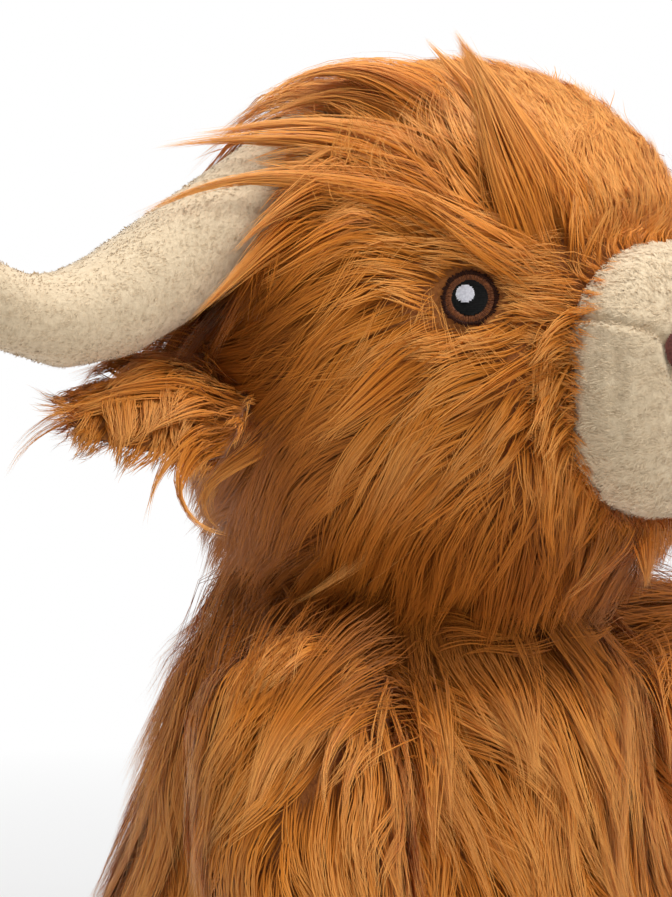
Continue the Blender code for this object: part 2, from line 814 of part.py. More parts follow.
def make_legs():
    ankle = LEG_LENGTH - REAR_HOOF_LENGTH
    for side in ("left", "right"):
        skin = piece(f"leg_skin_{side}", sided(leg_form(-HIP_RADIUS, ankle), side), "coat")
        thicken(skin, COAT)
        hoof = piece(f"rear_hoof_{side}", sided(leg_form(ankle + FIT, LEG_LENGTH), side), "plush")
        thicken(hoof, PLUSH)
        form = grown(leg_form(-HIP_RADIUS, LEG_LENGTH), -COAT - FIT)
        piece(f"leg_stuffing_{side}", sided(form, side), "stuffing")


# Tail


def tail_frame():
    """Z runs down the tail and Y out of the back, along the hinge at its root."""
    point, normal = surface_at(body_form(), Vector((0, 0, TAIL_HEIGHT)), heading(math.pi, 0))
    down = (Vector((0, 0, -1)) + normal * normal.z).normalized()
    return frame_matrix(point + normal * FIT, normal.cross(down), normal, down)


def make_tail():
    root = tail_frame() @ Matrix.Translation((0, TAIL_RADIUS, 0))
    cord_end = TAIL_LENGTH - TUFT_LENGTH
    cord = turned([(0, -TAIL_RADIUS)] + [(TAIL_RADIUS, share * cord_end) for share in (0, 0.5, 1)] + [(0, cord_end)], 10)
    piece("tail_skin", placed(cord, root), "coat")
    shares = [(0.30, 0), (0.75, 0.2), (1, 0.5), (0.8, 0.8), (0.35, 0.97), (0, 1)]
    start = cord_end + FIT
    tuft = [(0, start)] + [(share * TUFT_RADIUS, start + place * TUFT_LENGTH) for share, place in shares]
    lean = Matrix.Translation((0, TUFT_RADIUS, 0))
    piece("tail_tuft", placed(turned(tuft, 12), tail_frame() @ lean), "coat")


# Joints


def hang(joint_name, pivot, names, carrier=None):
    """Parents pieces to an empty on the joint that moves them. The carrier is the empty it hangs from."""
    joint = bpy.data.objects.new(joint_name, None)
    joint.empty_display_size = THREAD
    part_collection.objects.link(joint)
    joint.location = pivot
    if carrier:
        joint.parent = carrier
        joint.location = pivot - Vector(carrier["place"])
    joint["place"] = pivot
    for name in names:
        thing = bpy.data.objects[name]
        thing.data.transform(Matrix.Translation(-pivot))
        thing.parent = joint
    return joint


def mirrored(point, side):
    return Vector((-point.x, point.y, point.z)) if side == "right" else point


def hang_all():
    neck = hang("head_turn_joint", neck_centre(), ["neck_wadding"])
    face = ["head_skin", "head_stuffing", "nose_panel", "muzzle_stuffing", "mouth_stitch"]
    pairs = ["cheek_panel", "nostril", "eye_rim", "eye_iris", "eye_pupil", "eye_highlight"]
    pairs += ["horn_skin", "horn_stuffing"]
    face += [f"{name}_{side}" for name in pairs for side in ("left", "right")]
    head = hang("head_nod_joint", neck_centre(), face, neck)
    for side in ("left", "right"):
        ear = mirrored(ear_frame().translation, side)
        hang(f"ear_joint_{side}", ear, [f"ear_back_{side}", f"ear_lining_{side}"], head)
        shoulder = mirrored(shoulder_frame().translation, side)
        arm = [f"arm_skin_{side}", f"arm_stuffing_{side}", f"front_hoof_{side}"]
        hang(f"shoulder_joint_{side}", shoulder, arm)
        leg = [f"leg_skin_{side}", f"leg_stuffing_{side}", f"rear_hoof_{side}"]
        hang(f"hip_joint_{side}", mirrored(hip_centre(), side), leg)
    hang("tail_joint", tail_frame().translation, ["tail_skin", "tail_tuft"])


clear_scene()
part_collection = new_collection("plush_cow")
cutter_collection = new_collection("cutters")
make_body()
make_neck_wadding()
make_head()
make_muzzle()
make_nose_stitching()
make_eyes()
make_horns()
make_ears()
make_arms()
make_legs()
make_tail()
hang_all()
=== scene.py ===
"""A sitting plush cow: shaggy long-pile coat, short-pile horns and muzzle, and embroidered eyes."""

import json
import math

import bmesh
import bpy
import numpy as np
from mathutils import Matrix, Vector
from mathutils.bvhtree import BVHTree
from mathutils.kdtree import KDTree


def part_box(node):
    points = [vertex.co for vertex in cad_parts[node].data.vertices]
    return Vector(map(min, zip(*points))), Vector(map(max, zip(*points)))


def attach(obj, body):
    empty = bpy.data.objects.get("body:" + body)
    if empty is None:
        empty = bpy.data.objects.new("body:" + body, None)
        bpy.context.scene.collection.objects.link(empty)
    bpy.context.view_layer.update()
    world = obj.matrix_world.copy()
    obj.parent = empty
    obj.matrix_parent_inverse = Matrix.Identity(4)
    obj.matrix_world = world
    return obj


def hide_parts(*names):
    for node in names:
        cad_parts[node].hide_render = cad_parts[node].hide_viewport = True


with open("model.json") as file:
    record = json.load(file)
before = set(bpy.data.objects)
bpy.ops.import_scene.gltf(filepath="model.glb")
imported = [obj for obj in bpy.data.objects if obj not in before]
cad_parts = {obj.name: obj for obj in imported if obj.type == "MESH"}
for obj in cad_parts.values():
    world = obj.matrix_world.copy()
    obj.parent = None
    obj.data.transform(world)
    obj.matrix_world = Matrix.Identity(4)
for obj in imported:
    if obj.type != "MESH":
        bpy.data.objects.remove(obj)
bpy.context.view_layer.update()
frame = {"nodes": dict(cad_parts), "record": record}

MM = 0.001
SIDES = ("left", "right")

# Camera, as the photograph was taken
PHOTO_WIDTH_PX = 672
PHOTO_HEIGHT_PX = 897
CAMERA_TURN = math.radians(-46)
CAMERA_RISE = math.radians(6)
CAMERA_DISTANCE = 1.1
CAMERA_LENS_MM = 147
SENSOR_MM = 36
CAMERA_AIM = Vector((-0.0295, -0.0048, 0.225))

# Coat
STRAND_WIDTH = 0.36 * MM
STRAND_STATIONS = 5
LOCK_STATIONS = 10
GUIDE_STEPS = 10
STRANDS_A_GUIDE = 15
GUIDES_A_CLUMP = 9

# Short pile
PILE_VOXEL = 1.3 * MM
PILE_LENGTH = 1.6 * MM
PILE_WIDTH = 0.30 * MM

# Eyes
EYE_DOME_RADIUS = 75 * MM
EYE_ABOVE_MIDDLE = 0.3 * MM
MOUTH_STITCHES = 9
STITCHES_OVER_PLUSH = 0.9 * MM

random = np.random.default_rng(7)


# Vectors


def unit(vectors):
    """Each row at length 1."""
    return vectors / np.maximum(np.linalg.norm(vectors, axis=-1, keepdims=True), 1e-12)


def dot(first, second):
    return (first * second).sum(-1, keepdims=True)


def level(vectors, normals):
    """The part of each vector that lies along the surface."""
    return vectors - normals * dot(vectors, normals)


def eased(share):
    share = np.clip(share, 0, 1)
    return share * share * (3 - 2 * share)


def everywhere(value):
    """The same value at every point."""
    return lambda points: np.full(len(points), value)


def one_way(way):
    """The same direction at every point."""
    way = unit(np.array([way]))
    return lambda points: np.tile(way, (len(points), 1))


def spread(values, count):
    """The values drawn out evenly to this many."""
    return np.interp(np.linspace(0, 1, count), np.linspace(0, 1, len(values)), values)


def middle_of(node):
    low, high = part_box(node)
    return (low + high) / 2


def turned_about(vectors, axes, angles):
    """Each vector turned about its own axis."""
    angles = angles[:, None]
    across = np.cross(axes, vectors)
    along = axes * dot(axes, vectors)
    return vectors * np.cos(angles) + across * np.sin(angles) + along * (1 - np.cos(angles))


class Ripple:
    """A smooth random field: a few waves of about one length, between -1 and 1."""

    def __init__(self, wavelength, waves=5):
        headings = unit(random.normal(size=(waves, 3)))
        lengths = wavelength * random.uniform(0.7, 1.5, size=(waves, 1))
        self.waves = headings * 2 * math.pi / lengths
        self.phases = random.uniform(0, 2 * math.pi, size=waves)

    def __call__(self, points):
        return np.sin(points @ self.waves.T + self.phases).mean(-1) * 1.6


# Camera


def camera_axes():
    level_share = math.cos(CAMERA_RISE)
    across, ahead = math.sin(CAMERA_TURN), math.cos(CAMERA_TURN)
    back = Vector((across * level_share, -ahead * level_share, math.sin(CAMERA_RISE)))
    right = Vector((0, 0, 1)).cross(back).normalized()
    return right, back.cross(right), back


def place_camera():
    right, up, back = camera_axes()
    lens = bpy.data.cameras.new("camera")
    lens.lens = CAMERA_LENS_MM
    lens.sensor_width = SENSOR_MM
    camera = bpy.data.objects.new("camera", lens)
    turn = Matrix((right, up, back)).transposed().to_4x4()
    camera.matrix_world = Matrix.Translation(CAMERA_AIM + back * CAMERA_DISTANCE) @ turn
    bpy.context.scene.collection.objects.link(camera)
    bpy.context.scene.camera = camera


def sight_line(pixel):
    """Where the camera stands, and the direction in which it sees a pixel of the photograph."""
    right, up, back = camera_axes()
    pixels_a_unit = CAMERA_LENS_MM / SENSOR_MM * PHOTO_HEIGHT_PX
    across = (pixel[0] - PHOTO_WIDTH_PX / 2) / pixels_a_unit
    above = (PHOTO_HEIGHT_PX / 2 - pixel[1]) / pixels_a_unit
    return CAMERA_AIM + back * CAMERA_DISTANCE, (right * across + up * above - back).normalized()


# Surfaces


def form_of(node):
    """A bmesh of a CAD node with its doubles merged."""
    form = bmesh.new()
    form.from_mesh(frame["nodes"][node].data)
    bmesh.ops.remove_doubles(form, verts=form.verts, dist=0.01 * MM)
    form.normal_update()
    return form


def points_of(form):
    """Every point of a form, and the normal there."""
    points = np.array([tuple(vertex.co) for vertex in form.verts])
    return points, np.array([tuple(vertex.normal) for vertex in form.verts])


def move_to(form, places):
    for vertex, place in zip(form.verts, places):
        vertex.co = place


def remeshed(voxel, rounds):
    """The modifiers that turn a form into one closed, finely divided surface and soften it."""
    return (
        ("REMESH", {"mode": "VOXEL", "voxel_size": voxel, "use_smooth_shade": True}),
        ("SMOOTH", {"factor": 0.5, "iterations": rounds}),
    )


def hull_of(nodes, voxel, rounds):
    """The outer surface of some pieces together, with their joins softened."""
    joined = bmesh.new()
    for node in nodes:
        joined.from_mesh(frame["nodes"][node].data)
    bmesh.ops.remove_doubles(joined, verts=joined.verts, dist=0.01 * MM)
    return applied("hull", joined, *remeshed(voxel, rounds))


class Ground:
    """A surface that fur or pile grows on, or that it lies over."""

    def __init__(self, *forms):
        self.corners = []
        self.triangles = []
        for form in forms:
            start = len(self.corners)
            form.verts.index_update()
            self.corners += [vertex.co.copy() for vertex in form.verts]
            for face in form.faces:
                ends = [start + corner.vert.index for corner in face.loops]
                self.triangles += [(ends[0], ends[k], ends[k + 1]) for k in range(1, len(ends) - 1)]
        self.tree = BVHTree.FromPolygons(self.corners, self.triangles)
        corners = np.array([tuple(corner) for corner in self.corners])
        triangles = np.array(self.triangles)
        self.a, self.b, self.c = (corners[triangles[:, k]] for k in range(3))
        crossed = np.cross(self.b - self.a, self.c - self.a)
        self.areas = np.linalg.norm(crossed, axis=1) / 2
        self.normals = unit(crossed)

    def only(self, chosen):
        """The same surface, growing on some of its triangles only."""
        self.areas = np.where(chosen, self.areas, 0)
        return self

    def middles(self):
        return (self.a + self.b + self.c) / 3

    def scatter(self, count):
        """Random points on the surface, spread by area, and the normals there."""
        picked = random.choice(len(self.areas), size=count, p=self.areas / self.areas.sum())
        first, second = random.random((2, count, 1))
        over = first + second > 1
        first, second = np.where(over, 1 - first, first), np.where(over, 1 - second, second)
        a, b, c = self.a[picked], self.b[picked], self.c[picked]
        return a + (b - a) * first + (c - a) * second, self.normals[picked]

    def nearest(self, points):
        places = np.empty_like(points)
        normals = np.empty_like(points)
        for index, point in enumerate(points):
            place, normal, _, _ = self.tree.find_nearest(point)
            places[index] = place
            normals[index] = normal
        return places, normals

    def gap(self, points):
        """How far each point is from the surface."""
        return np.linalg.norm(self.nearest(points)[0] - points, axis=1)

    def seen_at(self, pixel):
        """The point of the surface at a pixel, or the nearest one to that line of sight."""
        eye, look = sight_line(pixel)
        point, normal, _, _ = self.tree.ray_cast(eye, look)
        if point is not None:
            return point, normal
        best = None
        for step in range(60):
            place = eye + look * (CAMERA_DISTANCE + (step / 30 - 1) * 0.15)
            point, normal, _, distance = self.tree.find_nearest(place)
            if best is None or distance < best[0]:
                best = (distance, point, normal)
        return best[1], best[2]


def axis_of(points, start, end):
    """The nearest point of an axis to each point."""
    start, end = np.array(start), np.array(end)
    along = end - start
    share = np.clip(((points - start) @ along) / max(along @ along, 1e-12), 0, 1)
    return start + share[:, None] * along


def outside_of(ground, start, end):
    """Keeps the outer side of a skin, which faces away from the axis that it goes round."""
    middles = ground.middles()
    away = unit(middles - axis_of(middles, start, end))
    return ground.only(dot(ground.normals, away)[:, 0] > 0.25)


# Fur


class Comb:
    """The way the fur lies: listed strokes, and a plain way where none reaches."""

    def __init__(self, plain, reach, plain_weight=0.05):
        self.plain = plain
        self.reach = reach
        self.plain_weight = plain_weight
        self.places = np.zeros((0, 3))
        self.ways = np.zeros((0, 3))

    def stroke(self, points, mirror=False):
        points = np.array([tuple(point) for point in points])
        self.places = np.vstack([self.places, (points[1:] + points[:-1]) / 2])
        self.ways = np.vstack([self.ways, unit(points[1:] - points[:-1])])
        if mirror:
            self.stroke(points * (-1, 1, 1))

    def __call__(self, points, normals):
        way = self.plain(points) * self.plain_weight
        if len(self.places):
            apart = ((points[:, None] - self.places[None]) ** 2).sum(-1)
            way = way + np.exp(-apart / (2 * self.reach**2)) @ self.ways
        return unit(level(way, normals))


class Fur:
    """Guides that follow the comb round a surface, each the middle of one lock, drawn together in clumps."""

    def __init__(
        self,
        ground,
        comb,
        length,
        lift,
        density,
        over=None,
        wander=0.35,
        drop=0.35,
        hang=0.6,
        stand=everywhere(0.9),
        even=everywhere(0.0),
        frizz=1.0,
        stations=STRAND_STATIONS,
    ):
        self.ground = ground
        self.comb = comb
        self.over = over or ground
        self.count = int(ground.areas.sum() * density)
        self.lift = lift
        self.wander = wander
        self.drop = drop
        self.hang = hang
        self.length = length
        self.frizz = frizz
        self.stations = stations
        self.stand = stand
        self.even = even
        self.grow_guides()
        self.draw_clumps()

    def grow_guides(self):
        number = max(self.count // STRANDS_A_GUIDE, 12)
        roots, normals = self.ground.scatter(number)
        self.clump_of = self.clumps(roots)
        loosely = 1 - self.even(roots)
        clump_rise = 1 + random.uniform(-0.50, 0.12, number)[self.clump_of] * loosely
        lengths = self.length(roots) * random.uniform(0.75, 1.2, number)
        lifts = self.lift(roots) * clump_rise * random.uniform(0.7, 1.2, number)
        lean = Ripple(45 * MM)
        curl = Ripple(17 * MM)
        own = random.normal(0, 0.20, number)[self.clump_of] * loosely + random.normal(0, 0.08, number)
        way = self.comb(roots, normals)
        heading = unit(way * 0.75 + normals * self.stand(roots)[:, None])
        paths = [roots]
        faces = [normals]
        point = roots
        for step in range(1, GUIDE_STEPS + 1):
            share = step / GUIDE_STEPS
            place, normal = self.over.nearest(point)
            flow = self.comb(place, normal)
            bend = self.wander * loosely * (lean(point) + (0.3 + 0.6 * share) * curl(point)) + own
            flow = turned_about(flow, normal, bend)
            hanging = eased((0.15 - normal[:, 2:]) / 0.7)
            fall = np.array([0, 0, -1.0]) * (self.drop + self.hang * hanging) * share
            flow = unit(flow * (1 - 0.75 * hanging) + fall)
            heading = unit(heading * 0.45 + flow * 0.55)
            point = point + heading * (lengths / GUIDE_STEPS)[:, None]
            point = self.kept_above(point, lifts * share**0.6, hanging[:, 0])
            paths.append(point)
            faces.append(normal)
        self.paths = np.stack(paths, axis=1)
        self.faces = np.stack(faces, axis=1)
        self.loosely = loosely
        self.guide_tones = random.normal(0, 0.5, number)[self.clump_of] * loosely
        self.guide_tones += random.normal(0, 0.3, number) + Ripple(30 * MM)(roots) * 0.5

    def clumps(self, roots):
        """Each guide's clump, named by the guide in its middle."""
        heads = random.choice(len(roots), size=max(len(roots) // GUIDES_A_CLUMP, 2), replace=False)
        tree = KDTree(len(heads))
        for head in heads:
            tree.insert(roots[head], int(head))
        tree.balance()
        return np.array([tree.find(root)[1] for root in roots])

    def draw_clumps(self):
        share = np.linspace(0, 1, GUIDE_STEPS + 1)
        pull = (random.uniform(0.25, 0.75, len(self.paths)) * self.loosely)[:, None] * share[None] ** 1.3
        self.paths = self.paths + (self.paths[self.clump_of] - self.paths) * pull[..., None]

    def kept_above(self, points, heights, hanging):
        """Points held at their layer of the coat, but free to hang below an overhang."""
        place, normal = self.over.nearest(points)
        height = dot(points - place, normal)[:, 0]
        far = np.linalg.norm(points - place, axis=1)
        wanted = np.where(height < heights, heights, height + (heights - height) * 0.5 * (1 - hanging))
        near = far < 32 * MM
        return np.where(near[:, None], points + normal * (wanted - height)[:, None], points)

    def strands(self):
        """Every strand's root, its line of points, the way that each faces and its tone."""
        roots, _ = self.ground.scatter(self.count)
        tree = KDTree(len(self.paths))
        for index, path in enumerate(self.paths):
            tree.insert(path[0], index)
        tree.balance()
        owners = np.array([tree.find(root)[1] for root in roots])
        reach = random.uniform(0.6, 1.0, self.count)
        reach = np.where(random.random(self.count) < 0.08, reach * 0.5, reach)
        lines, faces = self.lines(roots, owners, reach)
        tones = self.guide_tones[owners] * 0.8 + random.normal(0, 0.24, self.count)
        return roots, faces, lines, tones

    def lines(self, roots, owners, reach):
        shares = np.linspace(0, 1, self.stations + 1)[None] * reach[:, None]
        steps = np.clip(shares * GUIDE_STEPS, 0, GUIDE_STEPS - 1e-6)
        low = steps.astype(int)
        part = (steps - low)[..., None]
        middle = self.paths[owners[:, None], low] * (1 - part) + self.paths[owners[:, None], low + 1] * part
        faces = self.faces[owners[:, None], low] * (1 - part) + self.faces[owners[:, None], low + 1] * part
        apart = roots - self.paths[owners, 0]
        pinch = random.uniform(0.4, 0.95, (len(roots), 1))
        closing = (1 - pinch * eased(shares))[..., None]
        return middle + apart[:, None] * closing + loose(shares, self.frizz), unit(faces)


def loose(shares, frizz):
    """How far each strand waves and strays from its lock, growing towards the tip."""
    count = len(shares)
    ways = unit(random.normal(size=(3, count, 3)))
    slow = np.sin(shares * random.uniform(2.5, 6, (count, 1)) + random.uniform(0, 6, (count, 1)))
    quick = np.sin(shares * random.uniform(8, 15, (count, 1)) + random.uniform(0, 6, (count, 1)))
    stray = np.where(random.random(count) < 0.09, 5.0 * MM, 1.2 * MM)[:, None]
    stray = stray * random.uniform(0.2, 1, (count, 1))
    offsets = (slow * 0.75 * MM * shares**0.6)[..., None] * ways[0][:, None]
    offsets = offsets + (quick * 0.28 * MM * shares**0.4)[..., None] * ways[1][:, None]
    return (offsets + (stray * shares**1.5)[..., None] * ways[2][:, None]) * frizz


def cut_back(coat, keep_clear, short=0.6):
    """The strands, with each cut off before it enters a place that stays clear."""
    roots, faces, lines, tones = coat
    blocked = keep_clear(lines)
    last = lines.shape[1] - 1
    first = np.where(blocked.any(1), blocked.argmax(1), last + 1)
    kept = first > 1
    share = np.clip((first - short) / last, 0, 1)
    points = lines[kept]
    stations = np.linspace(0, 1, last + 1)[None] * share[kept][:, None] * last
    low = np.clip(stations.astype(int), 0, last - 1)
    part = (stations - low)[..., None]
    rows = np.arange(len(points))[:, None]
    lines = points[rows, low] * (1 - part) + points[rows, low + 1] * part
    return roots[kept], faces[kept], lines, tones[kept]


def brought_back(ground, places, most):
    """The places, and where one is further than this from the surface, a nearer one."""
    nearest, _ = ground.nearest(places)
    apart = places - nearest
    share = np.minimum(1, most / np.maximum(np.linalg.norm(apart, axis=1), 1e-9))
    return nearest + apart * share[:, None]


def held_down(coat, ground, most):
    """The same strands, brought back wherever they are further than this from the surface."""
    roots, faces, lines, tones = coat
    held = brought_back(ground, lines.reshape(-1, 3), most).reshape(lines.shape)
    return roots, faces, held, tones


def picked(coat, chosen):
    return tuple(column[chosen] for column in coat)


def smooth_path(places):
    places = np.array([tuple(place) for place in places])
    along = np.concatenate([[0], np.cumsum(np.linalg.norm(np.diff(places, axis=0), axis=1))])
    fine = np.linspace(0, along[-1], 40)
    path = np.stack([np.interp(fine, along, places[:, axis]) for axis in range(3)], axis=1)
    for _ in range(14):
        path[1:-1] = path[1:-1] * 0.5 + (path[2:] + path[:-2]) * 0.25
    return path


def through_pixels(ground, pixels, heights_mm):
    """A smooth path over the surface where the camera sees each pixel; past its outline, at that depth."""
    places = []
    depth = None
    for pixel, height in zip(pixels, spread(heights_mm, len(pixels))):
        eye, look = sight_line(pixel)
        point, _, _, distance = ground.tree.ray_cast(eye, look)
        if point is None:
            if depth is None:
                depth = (ground.seen_at(pixel)[0] - eye).length
            places.append(eye + look * depth)
            continue
        depth = distance - height * MM
        places.append(eye + look * depth)
    return smooth_path(places)


def held_pixels(ground, pixels, heights_mm):
    """The same path, brought back wherever it is further from the surface than its heights."""
    path = through_pixels(ground, pixels, heights_mm)
    return smooth_path(brought_back(ground, path, spread(heights_mm, len(path)) * MM))


def raised_pixels(ground, pixels, heights_mm):
    """A smooth path held at its heights over the surface, where the camera sees each pixel."""
    places = []
    for pixel, height in zip(pixels, spread(heights_mm, len(pixels))):
        eye, look = sight_line(pixel)
        gone = CAMERA_DISTANCE * 0.7
        best = (1.0, eye)
        for _ in range(60):
            place = eye + look * gone
            apart = ground.tree.find_nearest(place)[3] - height * MM
            best = min(best, (apart, place), key=lambda tried: tried[0])
            if apart < 0.1 * MM or apart > best[0] + 20 * MM:
                break
            gone += max(apart, 0.4 * MM)
        places.append(best[1])
    return smooth_path(places)


def lock_along(ground, path, count, root_mm, tip_mm=0.5, tone=0.3, frizz=0.8):
    """A lock of strands that grow from the skin under a path and gather towards its tip."""
    reach = random.uniform(0.45, 1.0, count) ** 0.5
    shares = np.linspace(0, 1, LOCK_STATIONS + 1)[None] * reach[:, None]
    steps = np.clip(shares * (len(path) - 1), 0, len(path) - 1 - 1e-6)
    low = steps.astype(int)
    part = (steps - low)[..., None]
    middle = path[low] * (1 - part) + path[low + 1] * part
    start = unit((path[1] - path[0])[None])[0]
    apart = random.normal(size=(count, 3)) * 0.55
    apart = apart - (apart @ start)[:, None] * start[None]
    width = (root_mm + (tip_mm - root_mm) * eased(shares * 1.05)) * MM
    lines = middle + apart[:, None] * width[..., None] + loose(shares, frizz)
    place, normal = ground.nearest(lines[:, 0] + start[None] * random.uniform(-4, 8, (count, 1)) * MM)
    sunk = (1 - eased(shares / random.uniform(0.12, 0.30, (count, 1))))[..., None]
    lines = lines + (place - lines[:, 0])[:, None] * sunk
    faces = unit(normal[:, None] + apart[:, None] * 0.4 + 0 * lines)
    return lines[:, 0], faces, lines, random.normal(tone, 0.4, count)


def locks(ground, table, way=through_pixels):
    """Listed locks: each row of the table has its pixels, heights, strands and width at the root."""
    coats = {"right": [], "left": []}
    mirror = np.array([-1, 1, 1])
    for pixels, heights_mm, count, root_mm in table:
        path = way(ground, pixels, heights_mm)
        roots, faces, lines, tones = lock_along(ground, path, count, root_mm)
        coats["right"].append((roots, faces, lines, tones))
        coats["left"].append((roots * mirror, faces * mirror, lines * mirror, tones))
    return {side: tuple(np.concatenate(column) for column in zip(*made)) for side, made in coats.items()}


def blades_mesh(name, points, quad_corners, tip_corners):
    """A mesh of many blades: the four-cornered faces of all of them, and then their pointed ends."""
    corners = np.concatenate([quad_corners, tip_corners])
    sizes = np.concatenate([np.full(len(quad_corners) // 4, 4), np.full(len(tip_corners) // 3, 3)])
    mesh = bpy.data.meshes.new(name)
    mesh.vertices.add(points.size // 3)
    mesh.vertices.foreach_set("co", points.reshape(-1).astype(np.float32))
    mesh.loops.add(len(corners))
    mesh.loops.foreach_set("vertex_index", corners.astype(np.int32))
    mesh.polygons.add(len(sizes))
    mesh.polygons.foreach_set("loop_start", (np.cumsum(sizes) - sizes).astype(np.int32))
    mesh.update(calc_edges=True)
    mesh.polygons.foreach_set("use_smooth", np.ones(len(sizes), bool))
    return mesh, corners


def ribbon_mesh(name, lines, faces, tones, width, root_shade, unshaded_share):
    """One mesh of tapered ribbons, each turned a little about its own length to catch the light."""
    count, stations = lines.shape[:2]
    tangents = unit(np.gradient(lines, axis=1))
    sides = unit(np.cross(tangents, faces))
    outs = np.cross(sides, tangents)
    tilt = random.uniform(-0.45, 0.45, (count, 1, 1))
    sides = sides * np.cos(tilt) + outs * np.sin(tilt)
    along = np.linspace(0, 1, stations)
    profile = np.interp(along, (0, 0.15, 0.6, 1), (0.8, 1, 0.8, 0))
    widths = width * random.uniform(0.7, 1.25, (count, 1, 1)) * profile[None, :, None] / 2
    left = (lines - sides * widths)[:, :-1]
    right = (lines + sides * widths)[:, :-1]
    pairs = np.stack([left, right], axis=2).reshape(count, -1, 3)
    points = np.concatenate([pairs, lines[:, -1:]], axis=1)
    each = points.shape[1]
    quads = [(2 * k, 2 * k + 1, 2 * k + 3, 2 * k + 2) for k in range(stations - 2)]
    quad_corners = (np.arange(count)[:, None, None] * each + np.array(quads)[None]).reshape(-1)
    tips = np.array([each - 3, each - 2, each - 1])
    tip_corners = (np.arange(count)[:, None] * each + tips[None]).reshape(-1)
    mesh, corners = blades_mesh(name, points, quad_corners, tip_corners)
    fronts = unit(np.cross(sides, tangents) * 0.3 + faces * 0.7)
    rounded = np.stack([fronts - sides * 0.22, fronts + sides * 0.22], axis=2)[:, :-1]
    rounded = np.concatenate([rounded.reshape(count, -1, 3), fronts[:, -1:]], axis=1)
    mesh.normals_split_custom_set_from_vertices(unit(rounded.reshape(-1, 3)))
    station = np.concatenate([np.repeat(along[:-1], 2), [1]])
    shade = root_shade + (1 - root_shade) * station
    # Painted shade: where the share passed in is below 1, the strand's colour is held nearer the root's and
    # its tone is darkened
    unshaded_share = np.concatenate([np.repeat(unshaded_share[:, :-1], 2, axis=1), unshaded_share[:, -1:]], axis=1)
    add_value(mesh, "along", (unshaded_share * shade[None]).reshape(-1))
    add_value(mesh, "tone", (tones[:, None] - (1 - unshaded_share) * 1.3).reshape(-1))
    across = np.concatenate([np.tile([0.15, 0.85], (each - 1) // 2), [0.5]])
    lay_out(mesh, count, across, station, corners)
    return mesh


def add_value(mesh, name, values):
    attribute = mesh.attributes.new(name, "FLOAT", "POINT")
    attribute.data.foreach_set("value", values.astype(np.float32))


def lay_out(mesh, count, across, up, corners):
    """A map with a small upright cell for every blade."""
    columns = math.ceil(math.sqrt(count))
    rows = math.ceil(count / columns)
    cell = np.arange(count)
    flat_u = ((cell % columns)[:, None] + across[None]) / columns
    flat_v = ((cell // columns)[:, None] + 0.1 + 0.8 * up[None]) / rows
    layer = mesh.uv_layers.new(name="OFBake")
    uv = np.stack([flat_u.reshape(-1)[corners], flat_v.reshape(-1)[corners]], axis=1)
    layer.data.foreach_set("uv", uv.reshape(-1).astype(np.float32))


# Materials


def new_material(name, roughness):
    material = bpy.data.materials.new(name)
    material.use_nodes = True
    nodes = material.node_tree.nodes
    shader = nodes["Principled BSDF"]
    shader.inputs["Roughness"].default_value = roughness
    return material, nodes, material.node_tree.links, shader


def ramp(nodes, stops):
    node = nodes.new("ShaderNodeValToRGB")
    elements = node.color_ramp.elements
    while len(elements) < len(stops):
        elements.new(0.5)
    for element, (place, colour) in zip(elements, stops):
        element.position = place
        element.color = (*colour, 1)
    return node


def fur_material(name, root, body, tip, ruddy):
    """Dark at the roots and bleached at the tips, with some locks redder than others."""
    material, nodes, links, shader = new_material(name, 0.45)
    shader.inputs["Specular IOR Level"].default_value = 0.3
    shader.inputs["Specular Tint"].default_value = (1.0, 0.72, 0.45, 1.0)
    shader.inputs["Sheen Weight"].default_value = 0.22
    shader.inputs["Sheen Roughness"].default_value = 0.4
    shader.inputs["Sheen Tint"].default_value = (1.0, 0.80, 0.60, 1.0)
    # The along and tone values also carry painted shade where the head shades the coat
    along = nodes.new("ShaderNodeAttribute")
    along.attribute_name = "along"
    tone = nodes.new("ShaderNodeAttribute")
    tone.attribute_name = "tone"
    fade = ramp(nodes, ((0.0, root), (0.35, body), (1.0, tip)))
    links.new(along.outputs["Fac"], fade.inputs["Fac"])
    share = nodes.new("ShaderNodeMapRange")
    share.inputs["From Min"].default_value = -2.2
    share.inputs["From Max"].default_value = 2.2
    links.new(tone.outputs["Fac"], share.inputs["Value"])
    tint = ramp(nodes, ((0.0, (0.68, 0.60, 0.52)), (0.5, (1.0, 1.0, 1.0)), (1.0, ruddy)))
    links.new(share.outputs["Result"], tint.inputs["Fac"])
    mix = nodes.new("ShaderNodeMix")
    mix.data_type = "RGBA"
    mix.blend_type = "MULTIPLY"
    mix.inputs["Factor"].default_value = 1
    links.new(fade.outputs["Color"], mix.inputs["A"])
    links.new(tint.outputs["Color"], mix.inputs["B"])
    links.new(mix.outputs["Result"], shader.inputs["Base Color"])
    return material


def noise(nodes, links, scale, detail=3.0):
    place = nodes.new("ShaderNodeTexCoord")
    node = nodes.new("ShaderNodeTexNoise")
    node.inputs["Scale"].default_value = scale
    node.inputs["Detail"].default_value = detail
    links.new(place.outputs["Object"], node.inputs["Vector"])
    return node


def coloured(nodes, links, shader, grain, stops):
    """The shader's colour, from one shade to another with the grain."""
    colour = ramp(nodes, stops)
    links.new(grain.outputs["Fac"], colour.inputs["Fac"])
    links.new(colour.outputs["Color"], shader.inputs["Base Color"])


def bumped(nodes, links, shader, grain, strength, depth):
    bump = nodes.new("ShaderNodeBump")
    bump.inputs["Strength"].default_value = strength
    bump.inputs["Distance"].default_value = depth
    links.new(grain.outputs["Fac"], bump.inputs["Height"])
    links.new(bump.outputs["Normal"], shader.inputs["Normal"])


def backing_material(name, dark, light):
    """The dense roots of the pile, seen only where the locks part."""
    material, nodes, links, shader = new_material(name, 0.9)
    shader.inputs["Sheen Weight"].default_value = 0.2
    grain = noise(nodes, links, 900)
    coloured(nodes, links, shader, grain, ((0.35, dark), (0.7, light)))
    bumped(nodes, links, shader, grain, 0.6, 0.6 * MM)
    return material


